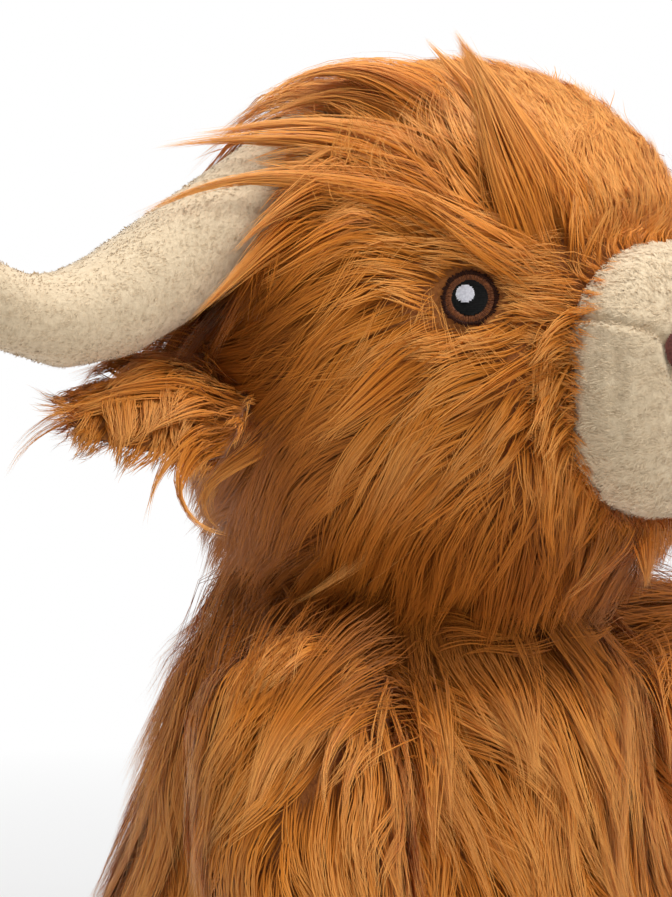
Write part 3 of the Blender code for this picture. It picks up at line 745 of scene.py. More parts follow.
def pile_material(name, shade, light):
    """Brushed short pile, its colour mottled lighter and darker at random."""
    material, nodes, links, shader = new_material(name, 0.85)
    shader.inputs["Sheen Weight"].default_value = 0.35
    shader.inputs["Sheen Roughness"].default_value = 0.5
    coloured(nodes, links, shader, noise(nodes, links, 650, 5.0), ((0.2, shade), (0.75, light)))
    bumped(nodes, links, shader, noise(nodes, links, 1300, 2.0), 0.5, 0.5 * MM)
    return material


def thread_material(name, colour, light, roughness, gloss):
    """Embroidery thread with a soft shine and small changes of shade from stitch to stitch."""
    material, nodes, links, shader = new_material(name, roughness)
    shader.inputs["Specular IOR Level"].default_value = gloss
    coloured(nodes, links, shader, noise(nodes, links, 1500, 2.0), ((0.3, colour), (0.75, light)))
    return material


COAT_COLOURS = ((0.33, 0.088, 0.007), (0.70, 0.228, 0.026), (0.88, 0.42, 0.115), (1.10, 1.10, 1.10))
COAT = fur_material("coat fur", *COAT_COLOURS)
BACKING = backing_material("coat backing", (0.26, 0.075, 0.008), (0.42, 0.14, 0.018))
UNDERCOAT = backing_material("thick of the pile", (0.24, 0.065, 0.006), (0.40, 0.125, 0.014))
PLUSH = pile_material("short pile", (0.60, 0.46, 0.29), (0.80, 0.64, 0.43))
FILLING = backing_material("fibre filling", (0.80, 0.80, 0.78), (0.92, 0.92, 0.90))
BAG_CLOTH = backing_material("pellet bag cloth", (0.62, 0.60, 0.56), (0.80, 0.78, 0.74))
RIM = thread_material("dark brown thread", (0.022, 0.006, 0.003), (0.075, 0.022, 0.010), 0.6, 0.15)
IRIS = thread_material("copper brown thread", (0.12, 0.030, 0.008), (0.36, 0.12, 0.035), 0.5, 0.3)
PUPIL = thread_material("black thread", (0.003, 0.003, 0.003), (0.010, 0.010, 0.009), 0.6, 0.12)
HIGHLIGHT = thread_material("white thread", (0.58, 0.58, 0.64), (0.80, 0.80, 0.85), 0.6, 0.2)
NOSTRIL = thread_material("reddish brown thread", (0.07, 0.017, 0.012), (0.17, 0.05, 0.032), 0.6, 0.2)


# Pieces


def add_piece(name, mesh, material, body, replaced=()):
    mesh.materials.clear()
    mesh.materials.append(material)
    piece = bpy.data.objects.new(name, mesh)
    bpy.context.scene.collection.objects.link(piece)
    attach(piece, body)
    if replaced:
        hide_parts(*replaced)
    return piece


def mesh_of(name, form):
    mesh = bpy.data.meshes.new(name)
    form.to_mesh(mesh)
    form.free()
    mesh.shade_smooth()
    return mesh


def applied(name, form, *settings):
    """The form after some modifiers, as a new bmesh."""
    mesh = mesh_of(name, form)
    helper = bpy.data.objects.new(name, mesh)
    bpy.context.scene.collection.objects.link(helper)
    for kind, values in settings:
        modifier = helper.modifiers.new(kind, kind)
        for key, value in values.items():
            setattr(modifier, key, value)
    graph = bpy.context.evaluated_depsgraph_get()
    result = bmesh.new()
    result.from_object(helper, graph)
    bpy.data.objects.remove(helper)
    bpy.data.meshes.remove(mesh)
    return result


def dress_node(node, material, body):
    """A refined copy of a soft CAD solid: merged and shaded smooth."""
    mesh = mesh_of(node + "_form", form_of(node))
    mesh.set_sharp_from_angle(angle=math.radians(50))
    return add_piece(node + "_form", mesh, material, body, (node,))


# Coat of each body

HEAD_CENTRE = Vector((0, -0.020, 0.254))

# Ways the fur is combed on the head, as pixels of the photograph
HEAD_STROKES_PX = (
    ((463, 130), (433, 98), (397, 78), (363, 68), (317, 72), (280, 88), (250, 110)),
    ((450, 153), (417, 127), (380, 107), (337, 97), (293, 107), (255, 125)),
    ((427, 167), (383, 143), (337, 130), (283, 123), (233, 130), (187, 137)),
    ((383, 160), (337, 140), (283, 140), (233, 142), (190, 147)),
    ((550, 273), (500, 253), (467, 237), (433, 217), (390, 197), (337, 187), (283, 180), (233, 180)),
    ((437, 227), (383, 223), (337, 233), (293, 260), (250, 283), (210, 300)),
    ((443, 250), (410, 260), (383, 287), (367, 320)),
    ((317, 207), (283, 233), (250, 260), (215, 297)),
    ((540, 264), (514, 216), (497, 166), (484, 120), (468, 80)),
    ((583, 283), (570, 253), (543, 207), (517, 153), (490, 103), (466, 66)),
    ((610, 253), (593, 207), (563, 160), (525, 113), (490, 72)),
    ((650, 250), (643, 220), (617, 170), (575, 115), (530, 72)),
    ((530, 262), (492, 215), (458, 170), (420, 126), (380, 90), (340, 74)),
    ((512, 256), (472, 220), (436, 180), (396, 142), (350, 112), (300, 100)),
    ((496, 246), (452, 218), (412, 186), (372, 160), (325, 140)),
    ((583, 287), (550, 300), (517, 322), (490, 345)),
    ((588, 321), (541, 332), (494, 362), (447, 412), (368, 443), (284, 481), (221, 500)),
    ((578, 368), (525, 405), (462, 456), (400, 525), (346, 594)),
    ((418, 316), (375, 335), (335, 370), (303, 407), (268, 431), (236, 450)),
    ((418, 388), (356, 434), (295, 466), (241, 493)),
    ((418, 429), (370, 450), (308, 488), (268, 504), (230, 512)),
    ((418, 471), (375, 498), (321, 541), (289, 573), (273, 597)),
    ((494, 437), (431, 481), (356, 531), (300, 580)),
    ((578, 390), (557, 468), (525, 547), (497, 603)),
    ((541, 390), (528, 453), (494, 531), (470, 562)),
    ((597, 468), (585, 531), (557, 594)),
    ((644, 512), (619, 562), (588, 594)),
    ((356, 308), (321, 327), (268, 337), (236, 345)),
    ((295, 378), (263, 399), (246, 420)),
)

BODY_STROKES_PX = (
    ((221, 623), (211, 686), (199, 780), (193, 874)),
    ((258, 642), (236, 692), (230, 780), (228, 860)),
    ((212, 616), (164, 701), (125, 780)),
)

ARM_STROKES_PX = (
    ((412, 664), (381, 654), (356, 667), (312, 695), (274, 723), (233, 780)),
    ((412, 701), (384, 707), (349, 726), (324, 755), (321, 786), (331, 827), (343, 861)),
    ((412, 736), (381, 748), (356, 764), (340, 792), (346, 842)),
    ((406, 773), (384, 792), (368, 817), (359, 858)),
    ((300, 690), (262, 740), (240, 800), (232, 860)),
)

CHEST_STROKES_PX = (
    ((422, 686), (447, 717), (469, 761), (478, 811), (472, 858)),
    ((418, 748), (425, 811), (437, 874)),
    ((440, 664), (472, 695), (506, 736), (525, 798), (519, 861)),
    ((540, 667), (582, 710), (590, 790)),
    ((604, 638), (619, 717), (600, 780), (588, 858)),
    ((651, 654), (663, 748), (651, 842)),
)

# Locks laid one by one: pixels, heights over the surface in mm, strands, and width at the root in mm
CROWN_TUFT = (
    (((566, 232), (540, 186), (517, 142), (497, 100), (479, 66), (452, 28)), (3, 6, 8, 9, 10, 11), 230, 9.0),
    (((548, 240), (520, 180), (500, 130), (484, 92), (470, 64), (456, 38)), (3, 6, 8, 9, 9, 10), 170, 8.0),
    (((590, 240), (560, 184), (530, 134), (506, 96), (488, 70)), (3, 5, 7, 8, 8), 130, 8.0),
    (((530, 250), (505, 190), (488, 140), (474, 100), (462, 70)), (3, 5, 6, 7, 7), 110, 7.0),
    (((486, 116), (470, 86), (452, 68), (438, 52), (424, 36)), (6, 8, 10, 11, 12), 34, 2.0),
)

HEAD_LOCKS = (
    (((470, 130), (433, 98), (397, 78), (363, 66), (317, 68), (280, 84), (248, 112)),
     (10, 15, 19, 20, 20, 18, 16), 150, 7.0),
    (((455, 118), (420, 86), (380, 70), (340, 67), (300, 79), (262, 103)),
     (12, 17, 20, 20, 18, 16), 120, 7.0),
    (((460, 160), (420, 124), (380, 104), (337, 94), (293, 104), (250, 122)),
     (9, 13, 16, 17, 16, 14), 150, 7.0),
    (((475, 190), (427, 160), (383, 138), (337, 126), (283, 122), (233, 130), (183, 137)),
     (8, 12, 14, 15, 14, 12, 10), 140, 6.0),
    (((440, 186), (383, 158), (337, 142), (283, 138), (233, 139), (188, 142), (152, 149)),
     (8, 11, 12, 12, 12, 12, 11), 130, 5.0),
    (((470, 215), (420, 180), (366, 160), (320, 150), (282, 150), (256, 158)),
     (7, 10, 12, 12, 10, 8), 90, 6.0),
    (((566, 286), (536, 276), (504, 258), (470, 234), (433, 208), (390, 186), (337, 176), (283, 172)),
     (3, 5, 7, 8, 9, 10, 11, 11), 50, 12.0),
    (((480, 240), (433, 214), (390, 194), (337, 184), (283, 176), (233, 178), (186, 191), (126, 220)),
     (6, 9, 11, 12, 13, 13, 12, 10), 160, 5.0),
    (((450, 228), (400, 208), (350, 196), (300, 200), (255, 222)), (6, 9, 10, 10, 9), 100, 6.0),
    (((420, 226), (370, 226), (330, 238), (290, 264), (245, 290), (200, 318)),
     (6, 9, 10, 11, 11, 9), 110, 6.0),
    (((340, 205), (300, 222), (262, 252), (222, 292), (184, 326)), (8, 11, 12, 12, 9), 100, 5.0),
    (((360, 180), (310, 190), (262, 222), (230, 256)), (8, 12, 12, 10), 90, 6.0),
    (((590, 352), (556, 366), (516, 384), (470, 410), (425, 436), (372, 462)), (4, 7, 9, 9, 9, 7), 120, 8.0),
    (((596, 372), (562, 396), (520, 428), (470, 466), (425, 494), (372, 520)),
     (4, 7, 9, 10, 9, 7), 150, 9.0),
    (((588, 392), (556, 430), (514, 470), (466, 512), (418, 548), (362, 590)),
     (4, 7, 9, 10, 9, 7), 140, 8.0),
    (((602, 412), (584, 456), (562, 500), (532, 552), (500, 604)), (4, 7, 8, 8, 7), 130, 6.0),
    (((578, 408), (558, 446), (548, 486), (534, 524), (512, 562)), (4, 7, 8, 8, 6), 90, 5.0),
    (((616, 500), (590, 536), (550, 566), (504, 594)), (4, 7, 8, 7), 110, 7.0),
    (((636, 512), (622, 548), (592, 580), (560, 604)), (4, 6, 7, 6), 90, 6.0),
    (((440, 340), (400, 372), (356, 410), (310, 446), (262, 470)), (5, 8, 9, 9, 7), 110, 7.0),
    (((470, 450), (420, 500), (376, 546), (330, 584), (290, 606)), (5, 8, 9, 9, 8), 120, 8.0),
    (((300, 410), (262, 445), (225, 468), (200, 490), (204, 520), (226, 536)), (8, 9, 8, 7, 6, 6), 50, 5.0),
    (((285, 440), (240, 470), (214, 488), (205, 505), (218, 522), (222, 528)), (8, 8, 7, 6, 5, 5), 40, 5.0),
)

EAR_LOCKS = (
    (((236, 374), (204, 348), (168, 337), (130, 344), (92, 360)), (6, 9, 10, 9, 6), 70, 6.0),
    (((230, 362), (206, 338), (182, 329), (150, 337), (120, 350)), (6, 9, 9, 8, 6), 60, 5.0),
    (((238, 385), (188, 366), (150, 358), (107, 364), (66, 376)), (4, 5, 5, 4, 3), 70, 5.0),
    (((235, 398), (174, 386), (134, 389), (94, 398), (54, 412), (22, 434), (10, 452)),
     (4, 5, 5, 4, 3, 3, 3), 44, 4.0),
    (((230, 410), (174, 396), (130, 398), (90, 408), (52, 424), (20, 446), (6, 474), (2, 484)),
     (4, 5, 5, 4, 3, 3, 3, 3), 44, 4.0),
    (((225, 424), (190, 436), (166, 460), (152, 490), (147, 520)), (5, 5, 4, 3, 3), 30, 3.5),
    (((228, 430), (194, 450), (176, 482), (184, 512), (206, 530), (230, 536)), (5, 5, 4, 3, 3, 3), 40, 4.0),
    (((215, 400), (180, 408), (155, 424), (131, 444)), (4, 5, 4, 3), 70, 6.0),
    (((232, 372), (195, 352), (160, 350), (120, 356)), (5, 6, 5, 4), 60, 6.0),
)

NECK_LOCKS = (
    (((262, 560), (299, 598), (306, 638), (327, 660), (343, 701), (353, 720)),
     (12, 15, 17, 17, 16, 14), 40, 4.0),
    (((310, 566), (326, 604), (318, 640), (326, 676), (334, 690)), (12, 16, 17, 16, 14), 30, 3.0),
    (((250, 566), (270, 590), (262, 618), (276, 648)), (11, 14, 15, 13), 24, 3.0),
    (((414, 672), (428, 712), (444, 760), (452, 830)), (9, 12, 12, 9), 100, 8.0),
    (((412, 706), (422, 752), (430, 806), (434, 870)), (9, 12, 12, 9), 100, 8.0),
    (((408, 744), (412, 796), (412, 860)), (9, 11, 9), 80, 8.0),
    (((420, 634), (455, 624), (490, 634), (528, 640)), (8, 11, 11, 9), 26, 6.0),
    (((560, 640), (520, 652), (485, 646), (455, 658)), (8, 11, 11, 9), 26, 6.0),
)


SHOULDER_LOCKS = (
    (((356, 566), (306, 614), (268, 664), (240, 724), (222, 790), (212, 850)),
     (8, 12, 13, 12, 10, 7), 90, 15.0),
    (((300, 552), (260, 616), (230, 676), (210, 740), (196, 810), (190, 870)),
     (8, 12, 13, 12, 10, 7), 90, 14.0),
    (((262, 546), (232, 612), (206, 676), (182, 746), (162, 820), (150, 880)),
     (8, 11, 12, 11, 9, 7), 90, 12.0),
    (((246, 546), (214, 614), (182, 684), (152, 750), (126, 820)), (7, 10, 11, 10, 8), 80, 9.0),
    (((410, 576), (356, 632), (304, 680), (268, 732), (246, 800), (238, 860)),
     (8, 12, 13, 12, 10, 7), 90, 14.0),
    (((414, 664), (384, 668), (350, 684), (308, 716), (272, 762), (250, 830)),
     (9, 11, 12, 12, 11, 8), 90, 11.0),
    (((412, 644), (372, 650), (328, 676), (284, 720), (254, 780), (240, 850)),
     (9, 12, 13, 12, 10, 7), 90, 12.0),
    (((412, 690), (384, 697), (349, 718), (324, 750), (319, 786), (331, 830)),
     (9, 12, 13, 12, 11, 10), 90, 7.0),
    (((410, 730), (381, 742), (356, 760), (340, 792), (346, 846)), (8, 11, 12, 11, 9), 80, 7.0),
    (((280, 620), (244, 650), (222, 700), (208, 770), (200, 850)), (8, 10, 11, 10, 9), 80, 8.0),
)


def head_plain(points):
    """Down the sides and nape, and back over the crown."""
    away = points - np.array(HEAD_CENTRE)
    down = np.full(len(points), -0.05)
    return unit(np.stack([away[:, 0] * 0.6, np.maximum(away[:, 1], 0) * 0.8, down], axis=1))


EYE_PLACES = {side: middle_of(f"eye_rim_{side}") for side in SIDES}
MUZZLE_MIDDLE = Vector((0, -0.1075, 0.250))

# What the fur leaves bare, and where it changes, in metres
BODY_AXIS = ((0, 0, 0.06), (0, -0.006, 0.166))
MUZZLE_HALF_WIDTH = 0.0405
MUZZLE_HALF_HEIGHT = 0.0410
FACE_FRONT = -0.1055
BARE_EYE = 8.6 * MM
FAR_CROWN_X = 0.030
FAR_CROWN_Z = 0.3335
NECK_HEIGHT = 0.155
# The hollow by each ear root, where the coat gets painted shade
HOLLOW_PLACE = (0.074, -0.012, 0.262)
HOLLOW_REACH = 0.020
MIDDLE_STRIP = 0.028


def head_painted_shade(points):
    """Painted shade: 1 where the head shades its coat (low down, on the sides and back, by each ear), 0
    where it is lit.
    """
    low = eased((0.232 - points[:, 2]) / 0.035)
    behind = eased((points[:, 1] + 0.062) / 0.035) * (1 - eased((points[:, 2] - 0.272) / 0.03))
    behind = behind * eased((np.abs(points[:, 0]) - 0.03) / 0.02)
    hollow = 0.0
    for side in (-1, 1):
        place = (side * HOLLOW_PLACE[0], *HOLLOW_PLACE[1:])
        hollow = hollow + np.exp(-((gap_from(points, place, 0) / HOLLOW_REACH) ** 2))
    return np.clip(np.maximum(low, behind) + hollow * 0.4, 0, 1.15)


# Painted shade on the neck where the head shades it: 1 near the head, 0 lower down, weaker towards the back
def neck_painted_shade(points):
    return eased((points[:, 2] - 0.146) / 0.02) * (1 - 0.7 * eased(points[:, 1] / 0.03))


def forehead_share(points):
    """1 on top of the head ahead of the crown, between the horns and a little to the left; 0 elsewhere."""
    ahead = eased((-points[:, 1] - 0.004) / 0.025)
    high = eased((points[:, 2] - 0.283) / 0.02)
    return ahead * high * (1 - eased((np.abs(points[:, 0] - 0.009) - 0.018) / 0.022))


def gap_from(points, place, radius_mm):
    return np.maximum(np.linalg.norm(points - np.array(place), axis=1) - radius_mm * MM, 0)


def head_length(points):
    crown = eased((points[:, 2] - 0.285) / 0.03)
    length = (46 + 8 * crown) * MM
    length = length + (24 * MM - length) * forehead_share(points)
    length = np.minimum(length, 18 * MM + gap_from(points, MUZZLE_MIDDLE, 42) * 1.3)
    for side in SIDES:
        length = np.minimum(length, 11 * MM + gap_from(points, EYE_PLACES[side], 9) * 1.8)
    return length


def head_lift(points):
    crown = eased((points[:, 2] - 0.272) / 0.035)
    lift = (12 + 5.5 * crown) * MM
    lift = np.minimum(lift, 10 * MM + gap_from(points, MUZZLE_MIDDLE, 42) * 0.3)
    for side in SIDES:
        lift = np.minimum(lift, 3.5 * MM + gap_from(points, EYE_PLACES[side], 9) * 0.4)
    return lift


def head_stand(points):
    return 0.7 - 0.2 * forehead_share(points)


def head_height(points):
    """How high the thick of the pile is."""
    height = head_lift(points) * (0.40 + 0.25 * forehead_share(points))
    for side in SIDES:
        height = height * eased(gap_from(points, EYE_PLACES[side], 9) / (9 * MM))
    return height * eased(gap_from(points, MUZZLE_MIDDLE, 41) / (9 * MM)) - 0.5 * MM


def clear_of_face(lines, over=0.0):
    """Where head fur may not go: over the eyes, and further than this over the muzzle."""
    blocked = np.zeros(lines.shape[:2], bool)
    for side in SIDES:
        apart = lines - np.array(EYE_PLACES[side])
        normal = np.array((EYE_PLACES[side] - HEAD_CENTRE).normalized())
        high = apart @ normal
        across = np.linalg.norm(apart - high[..., None] * normal, axis=-1)
        blocked |= (across < BARE_EYE) & (high > -6 * MM) & (high < 30 * MM)
    wide, high = MUZZLE_HALF_WIDTH - over, MUZZLE_HALF_HEIGHT - over
    round_muzzle = (lines[..., 0] / wide) ** 2 + ((lines[..., 2] - MUZZLE_MIDDLE.z) / high) ** 2
    return blocked | ((round_muzzle < 1) & (lines[..., 1] < FACE_FRONT))


def clear_of_horns(lines):
    """Where the horns stand out of the coat, lower down further from the head."""
    blocked = np.zeros(lines.shape[:2], bool)
    ragged = random.uniform(-5, 11, (len(lines), 1)) * MM
    out = np.abs(lines[..., 0]) > 0.066 + 0.47 * (0.315 - lines[..., 2]) + ragged
    near = out & (lines[..., 2] > 0.272) & (lines[..., 2] < 0.350)
    horns = Ground(*(form_of(f"horn_stuffing_{side}") for side in SIDES))
    blocked[near] = horns.gap(lines[near]) < 22 * MM
    behind = 0.695 * np.abs(lines[..., 0]) + 0.719 * lines[..., 1]
    crest = 0.047 + 0.84 * (0.320 - lines[..., 2]) + ragged * 0.6
    wide = (lines[..., 2] > 0.296) & (np.abs(lines[..., 0]) > 0.034) & (lines[..., 1] > -0.008)
    return blocked | (wide & (behind > crest))


def over_far_crown(lines):
    """Where the locks that are laid along the near side's outline would stand up off the far side."""
    return (lines[..., 0] > FAR_CROWN_X) & (lines[..., 2] > FAR_CROWN_Z)


def through_floor(lines):
    return lines[..., 2] < 0.8 * MM


def off_floor(fur):
    """The strands of a coat, cut where they would go through the floor."""
    return cut_back(fur.strands(), through_floor, 0.95)


def off_face_and_horns(fur):
    """The strands of the head's fur, cut where they would hide its face or horns."""
    return cut_back(cut_back(fur.strands(), clear_of_face), clear_of_horns)


def fur_piece(name, body, coat, width=STRAND_WIDTH, root_shade=0.0, painted_shade=None):
    _, faces, lines, tones = coat
    unshaded_share = np.ones(lines.shape[:2])
    if painted_shade:
        # Painted shade: where the shade function passed in is above 0, the coat keeps nearer its root colour
        # and is darkened
        unshaded_share = 1 - 0.70 * painted_shade(lines.reshape(-1, 3)).reshape(unshaded_share.shape)
    add_piece(name, ribbon_mesh(name, lines, faces, tones, width, root_shade, unshaded_share), COAT, body)


def thick_of_pile(name, form, body, skin, height, reach_mm=7):
    """The thick of the pile: a hull raised to where the locks part, kept where a skin carries it.

    Gives the surface that the locks grow from, and the whole one that they lie over."""
    points, normals = points_of(form)
    far = skin.gap(points) > reach_mm * MM
    bumps = Ripple(9 * MM)(points) * 0.10 + 1
    raised = np.where(far, 0.5 * MM, height(points) * bumps)
    move_to(form, points + normals * raised[:, None])
    over = Ground(form)
    form.verts.index_update()
    lost = [face for face in form.faces if all(far[corner.index] for corner in face.verts)]
    bmesh.ops.delete(form, geom=lost, context="FACES")
    ground = Ground(form)
    add_piece(name, mesh_of(name, form), UNDERCOAT, body)
    return ground, over


def outside_nodes(roots, nodes):
    """Which roots are clear of other pieces sewn on there."""
    clear = np.ones(len(roots), bool)
    for node in nodes:
        place, normal = Ground(form_of(node)).nearest(roots)
        inside = dot(roots - place, normal)[:, 0] < 0
        clear &= ~(inside & (np.linalg.norm(roots - place, axis=1) < 30 * MM))
    return clear


def coat_head():
    skin = outside_of(Ground(form_of("head_skin")), HEAD_CENTRE, HEAD_CENTRE)
    horns = tuple(f"horn_skin_{side}" for side in SIDES)
    fillings = tuple(f"horn_stuffing_{side}" for side in SIDES)
    form = hull_of(("head_skin", "head_stuffing", "muzzle_stuffing") + horns + fillings, 2.4 * MM, 14)
    hull = Ground(form)
    ground, over = thick_of_pile("undercoat_head", form, "head", skin, head_height)
    comb = Comb(head_plain, 12 * MM)
    for pixels in HEAD_STROKES_PX:
        comb.stroke([hull.seen_at(pixel)[0] for pixel in pixels], mirror=True)
    for x in (-0.03, 0, 0.03):
        comb.stroke([(x, 0.0, 0.33), (x, 0.035, 0.31), (x, 0.06, 0.28), (x, 0.06, 0.22)])

    def lift(points):
        over_pile = np.maximum(head_lift(points) - np.maximum(head_height(points), 0), 2 * MM)
        return over_pile * (1 - 0.25 * forehead_share(points))

    fur = Fur(
        ground,
        comb,
        head_length,
        lift,
        0.66e6,
        over,
        drop=0.12,
        hang=0.3,
        stand=head_stand,
        even=forehead_share,
    )
    coat = off_face_and_horns(fur)
    coat = picked(coat, random.random(len(coat[0])) > forehead_share(coat[0]) * 1.3)
    coat = picked(coat, outside_nodes(coat[0], horns + tuple(f"ear_back_{side}" for side in SIDES)))
    x = coat[0][:, 0]
    fur_piece("fur_head_right", "head", picked(coat, x < -MIDDLE_STRIP), painted_shade=head_painted_shade)
    fur_piece("fur_head_middle", "head", picked(coat, np.abs(x) <= MIDDLE_STRIP), painted_shade=head_painted_shade)
    fur_piece("fur_head_left", "head", picked(coat, x > MIDDLE_STRIP), painted_shade=head_painted_shade)
    fuzz = Fur(
        ground,
        comb,
        lambda points: np.minimum(head_length(points), 24 * MM),
        lambda points: lift(points) + 1.5 * MM,
        0.10e6,
        over,
        wander=1.0,
        drop=0.1,
        stand=head_stand,
        frizz=1.6,
        stations=4,
    )
    fur_piece("fur_head_fuzz", "head", off_face_and_horns(fuzz), 0.20 * MM, 0.3, head_painted_shade)
    ground.only(forehead_share(ground.middles()) > 0.15)
    nap = Fur(
        ground,
        comb,
        everywhere(15 * MM),
        everywhere(3.2 * MM),
        2.3e6,
        over,
        drop=0.1,
        hang=0.3,
        stand=everywhere(0.35),
        even=everywhere(0.9),
        frizz=1.1,
        stations=3,
    )
    fur_piece("fur_forehead", "head", cut_back(nap.strands(), clear_of_face), 0.27 * MM, 0.46)
    rim = skin.middles()
    skin.only((gap_from(rim, MUZZLE_MIDDLE, 0) < 52 * MM) & (rim[:, 2] < MUZZLE_MIDDLE.z + 24 * MM))
    forwards = Comb(lambda points: unit(np.array([0, -0.150, 0.250]) - points), 20 * MM, 1.0)
    fringe = Fur(
        skin,
        forwards,
        everywhere(10 * MM),
        everywhere(4 * MM),
        1.0e6,
        hull,
        drop=0.1,
        stand=everywhere(1.8),
        even=everywhere(0.7),
        stations=3,
    )
    short = cut_back(fringe.strands(), lambda lines: clear_of_face(lines, 2.2 * MM))
    fur_piece("fur_muzzle_fringe", "head", short, painted_shade=head_painted_shade)
    for side, coat in locks(hull, HEAD_LOCKS).items():
        short = cut_back(cut_back(coat, clear_of_face), over_far_crown)
        fur_piece(f"fur_head_locks_{side}", "head", short)
    fur_piece("fur_crown_tuft", "head", locks(over, CROWN_TUFT, raised_pixels)["right"], 0.30 * MM, 0.2)


def coat_body():
    skin = outside_of(Ground(form_of("body_skin")), *BODY_AXIS)
    skin.only(skin.middles()[:, 2] > 1 * MM)
    limbs = tuple(f"arm_{kind}_{side}" for kind in ("skin", "stuffing") for side in SIDES)
    form = hull_of(("body_skin", "body_stuffing") + limbs, 3.0 * MM, 12)
    hull = Ground(form)
    comb = Comb(one_way((0.0, 0.0, -1.0)), 14 * MM, 0.25)
    for pixels in BODY_STROKES_PX + CHEST_STROKES_PX:
        comb.stroke([hull.seen_at(pixel)[0] for pixel in pixels], mirror=True)

    def length(points):
        return 40 * MM + 24 * MM * eased((points[:, 2] - 0.02) / 0.06)

    def lift(points):
        return 6 * MM + 7 * MM * eased((points[:, 2] - 0.01) / 0.06)

    def height(points):
        above_seat = eased((points[:, 2] - 0.008) / 0.02)
        below_neck = 1 - eased((points[:, 2] - 0.150) / 0.015)
        return lift(points) * 0.4 * above_seat * below_neck

    ground, over = thick_of_pile("undercoat_body", form, "body", skin, height)
    ground.only(ground.middles()[:, 2] > 1 * MM)
    fur = Fur(
        ground,
        comb,
        length,
        lambda points: lift(points) - height(points),
        0.44e6,
        over,
        wander=0.5,
        drop=0.2,
    )
    coat = off_floor(fur)
    x, y = coat[0][:, 0], coat[0][:, 1]
    beside = np.abs(x) > np.abs(y)
    fur_piece("fur_body_front", "body", picked(coat, ~beside & (y < 0)), painted_shade=neck_painted_shade)
    fur_piece("fur_body_back", "body", picked(coat, ~beside & (y >= 0)), painted_shade=neck_painted_shade)
    fur_piece("fur_body_right", "body", picked(coat, beside & (x < 0)), painted_shade=neck_painted_shade)
    fur_piece("fur_body_left", "body", picked(coat, beside & (x >= 0)), painted_shade=neck_painted_shade)
    ground.only(ground.middles()[:, 2] < NECK_HEIGHT)
    fuzz = Fur(
        ground,
        comb,
        lambda points: np.minimum(length(points), 30 * MM),
        lambda points: lift(points) - height(points) + 1.5 * MM,
        0.055e6,
        over,
        wander=1.0,
        frizz=1.6,
        stations=4,
    )
    fur_piece("fur_body_fuzz", "body", off_floor(fuzz), 0.20 * MM, 0.3, neck_painted_shade)
    skin = outside_of(Ground(form_of("body_skin")), *BODY_AXIS)
    middles = skin.middles()
    bare = ground.gap(middles) > 7 * MM
    skin.only(bare & (middles[:, 2] > 5 * MM) & (middles[:, 2] < NECK_HEIGHT))
    armpits = Fur(
        skin,
        comb,
        everywhere(18 * MM),
        everywhere(3 * MM),
        0.6e6,
        wander=0.3,
        frizz=0.8,
        stations=4,
    )
    fur_piece("fur_under_arms", "body", armpits.strands())
    for side, coat in locks(over, NECK_LOCKS + SHOULDER_LOCKS, held_pixels).items():
        fur_piece(f"fur_neck_locks_{side}", "body", held_down(coat, over, 12 * MM), painted_shade=neck_painted_shade)


def coat_limb(kind, body, side, length_mm, lift_mm, density, strokes=()):
    hoof = ("front_hoof_" if kind == "arm" else "rear_hoof_") + side
    middle, end = middle_of(f"{kind}_skin_{side}"), middle_of(hoof)
    skin = outside_of(Ground(form_of(f"{kind}_skin_{side}")), middle * 2 - end, end)
    way = np.array((end - middle).normalized()) + np.array([0, 0, -0.45])
    comb = Comb(one_way(way), 12 * MM, 0.3)
    right_skin = Ground(form_of(f"{kind}_skin_right"))
    for pixels in strokes:
        points = np.array([tuple(right_skin.seen_at(pixel)[0]) for pixel in pixels])
        comb.stroke(points * (-1, 1, 1) if side == "left" else points)
    tip = np.array(end)
    root = np.array(middle * 2 - end)

    def length(points):
        return np.minimum(length_mm * MM, 9 * MM + gap_from(points, tip, 16) * 0.9)

    def lift(points):
        return lift_mm * MM * (0.3 + 0.7 * eased((gap_from(points, root, 0) - 10 * MM) / (35 * MM)))

    def height(points):
        off_hoof = eased((gap_from(points, tip, 0) - 20 * MM) / (12 * MM))
        off_root = eased((gap_from(points, root, 0) - 12 * MM) / (25 * MM))
        return 0.35 * lift_mm * MM * (off_hoof * off_root) * eased((points[:, 2] - 0.006) / 0.01)

    form = hull_of((f"{kind}_skin_{side}", f"{kind}_stuffing_{side}"), 2.6 * MM, 6)
    ground, over = thick_of_pile(f"undercoat_{kind}_{side}", form, body, skin, height, 4)
    fur = Fur(ground, comb, length, lift, density, over, wander=0.5, drop=0.2)
    fur_piece(f"fur_{kind}_{side}", body, off_floor(fur))


def coat_ear(side):
    sign = 1 if side == "left" else -1
    back = Ground(form_of(f"ear_back_{side}"))
    lining = Ground(form_of(f"ear_lining_{side}"))
    middles = back.middles()
    covered = lining.gap(middles) < 1.4 * MM
    back.only(~covered)
    comb = Comb(one_way((sign, 0.25, -0.10)), 14 * MM, 1.0)
    low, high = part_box(f"ear_back_{side}")
    root = low.x if side == "left" else high.x
    middle = (low.z + high.z) / 2

    def length(points):
        upper = eased((points[:, 2] - middle + 4 * MM) / (12 * MM))
        out = eased((np.abs(points[:, 0] - root) - 8 * MM) / (20 * MM))
        return 11 * MM + (6 * MM + 9 * MM * out) * upper

    def lift(points):
        upper = eased((points[:, 2] - middle + 4 * MM) / (12 * MM))
        return 4 * MM + 4 * MM * upper

    fur = Fur(back, comb, length, lift, 1.3e6, drop=0.12, wander=0.8, stand=everywhere(0.8), frizz=1.3)
    fur_piece(f"fur_ear_{side}", f"ear_{side}", fur.strands())
    right = Ground(form_of("ear_back_right"))
    fur_piece(f"fur_ear_locks_{side}", f"ear_{side}", locks(right, EAR_LOCKS)[side])


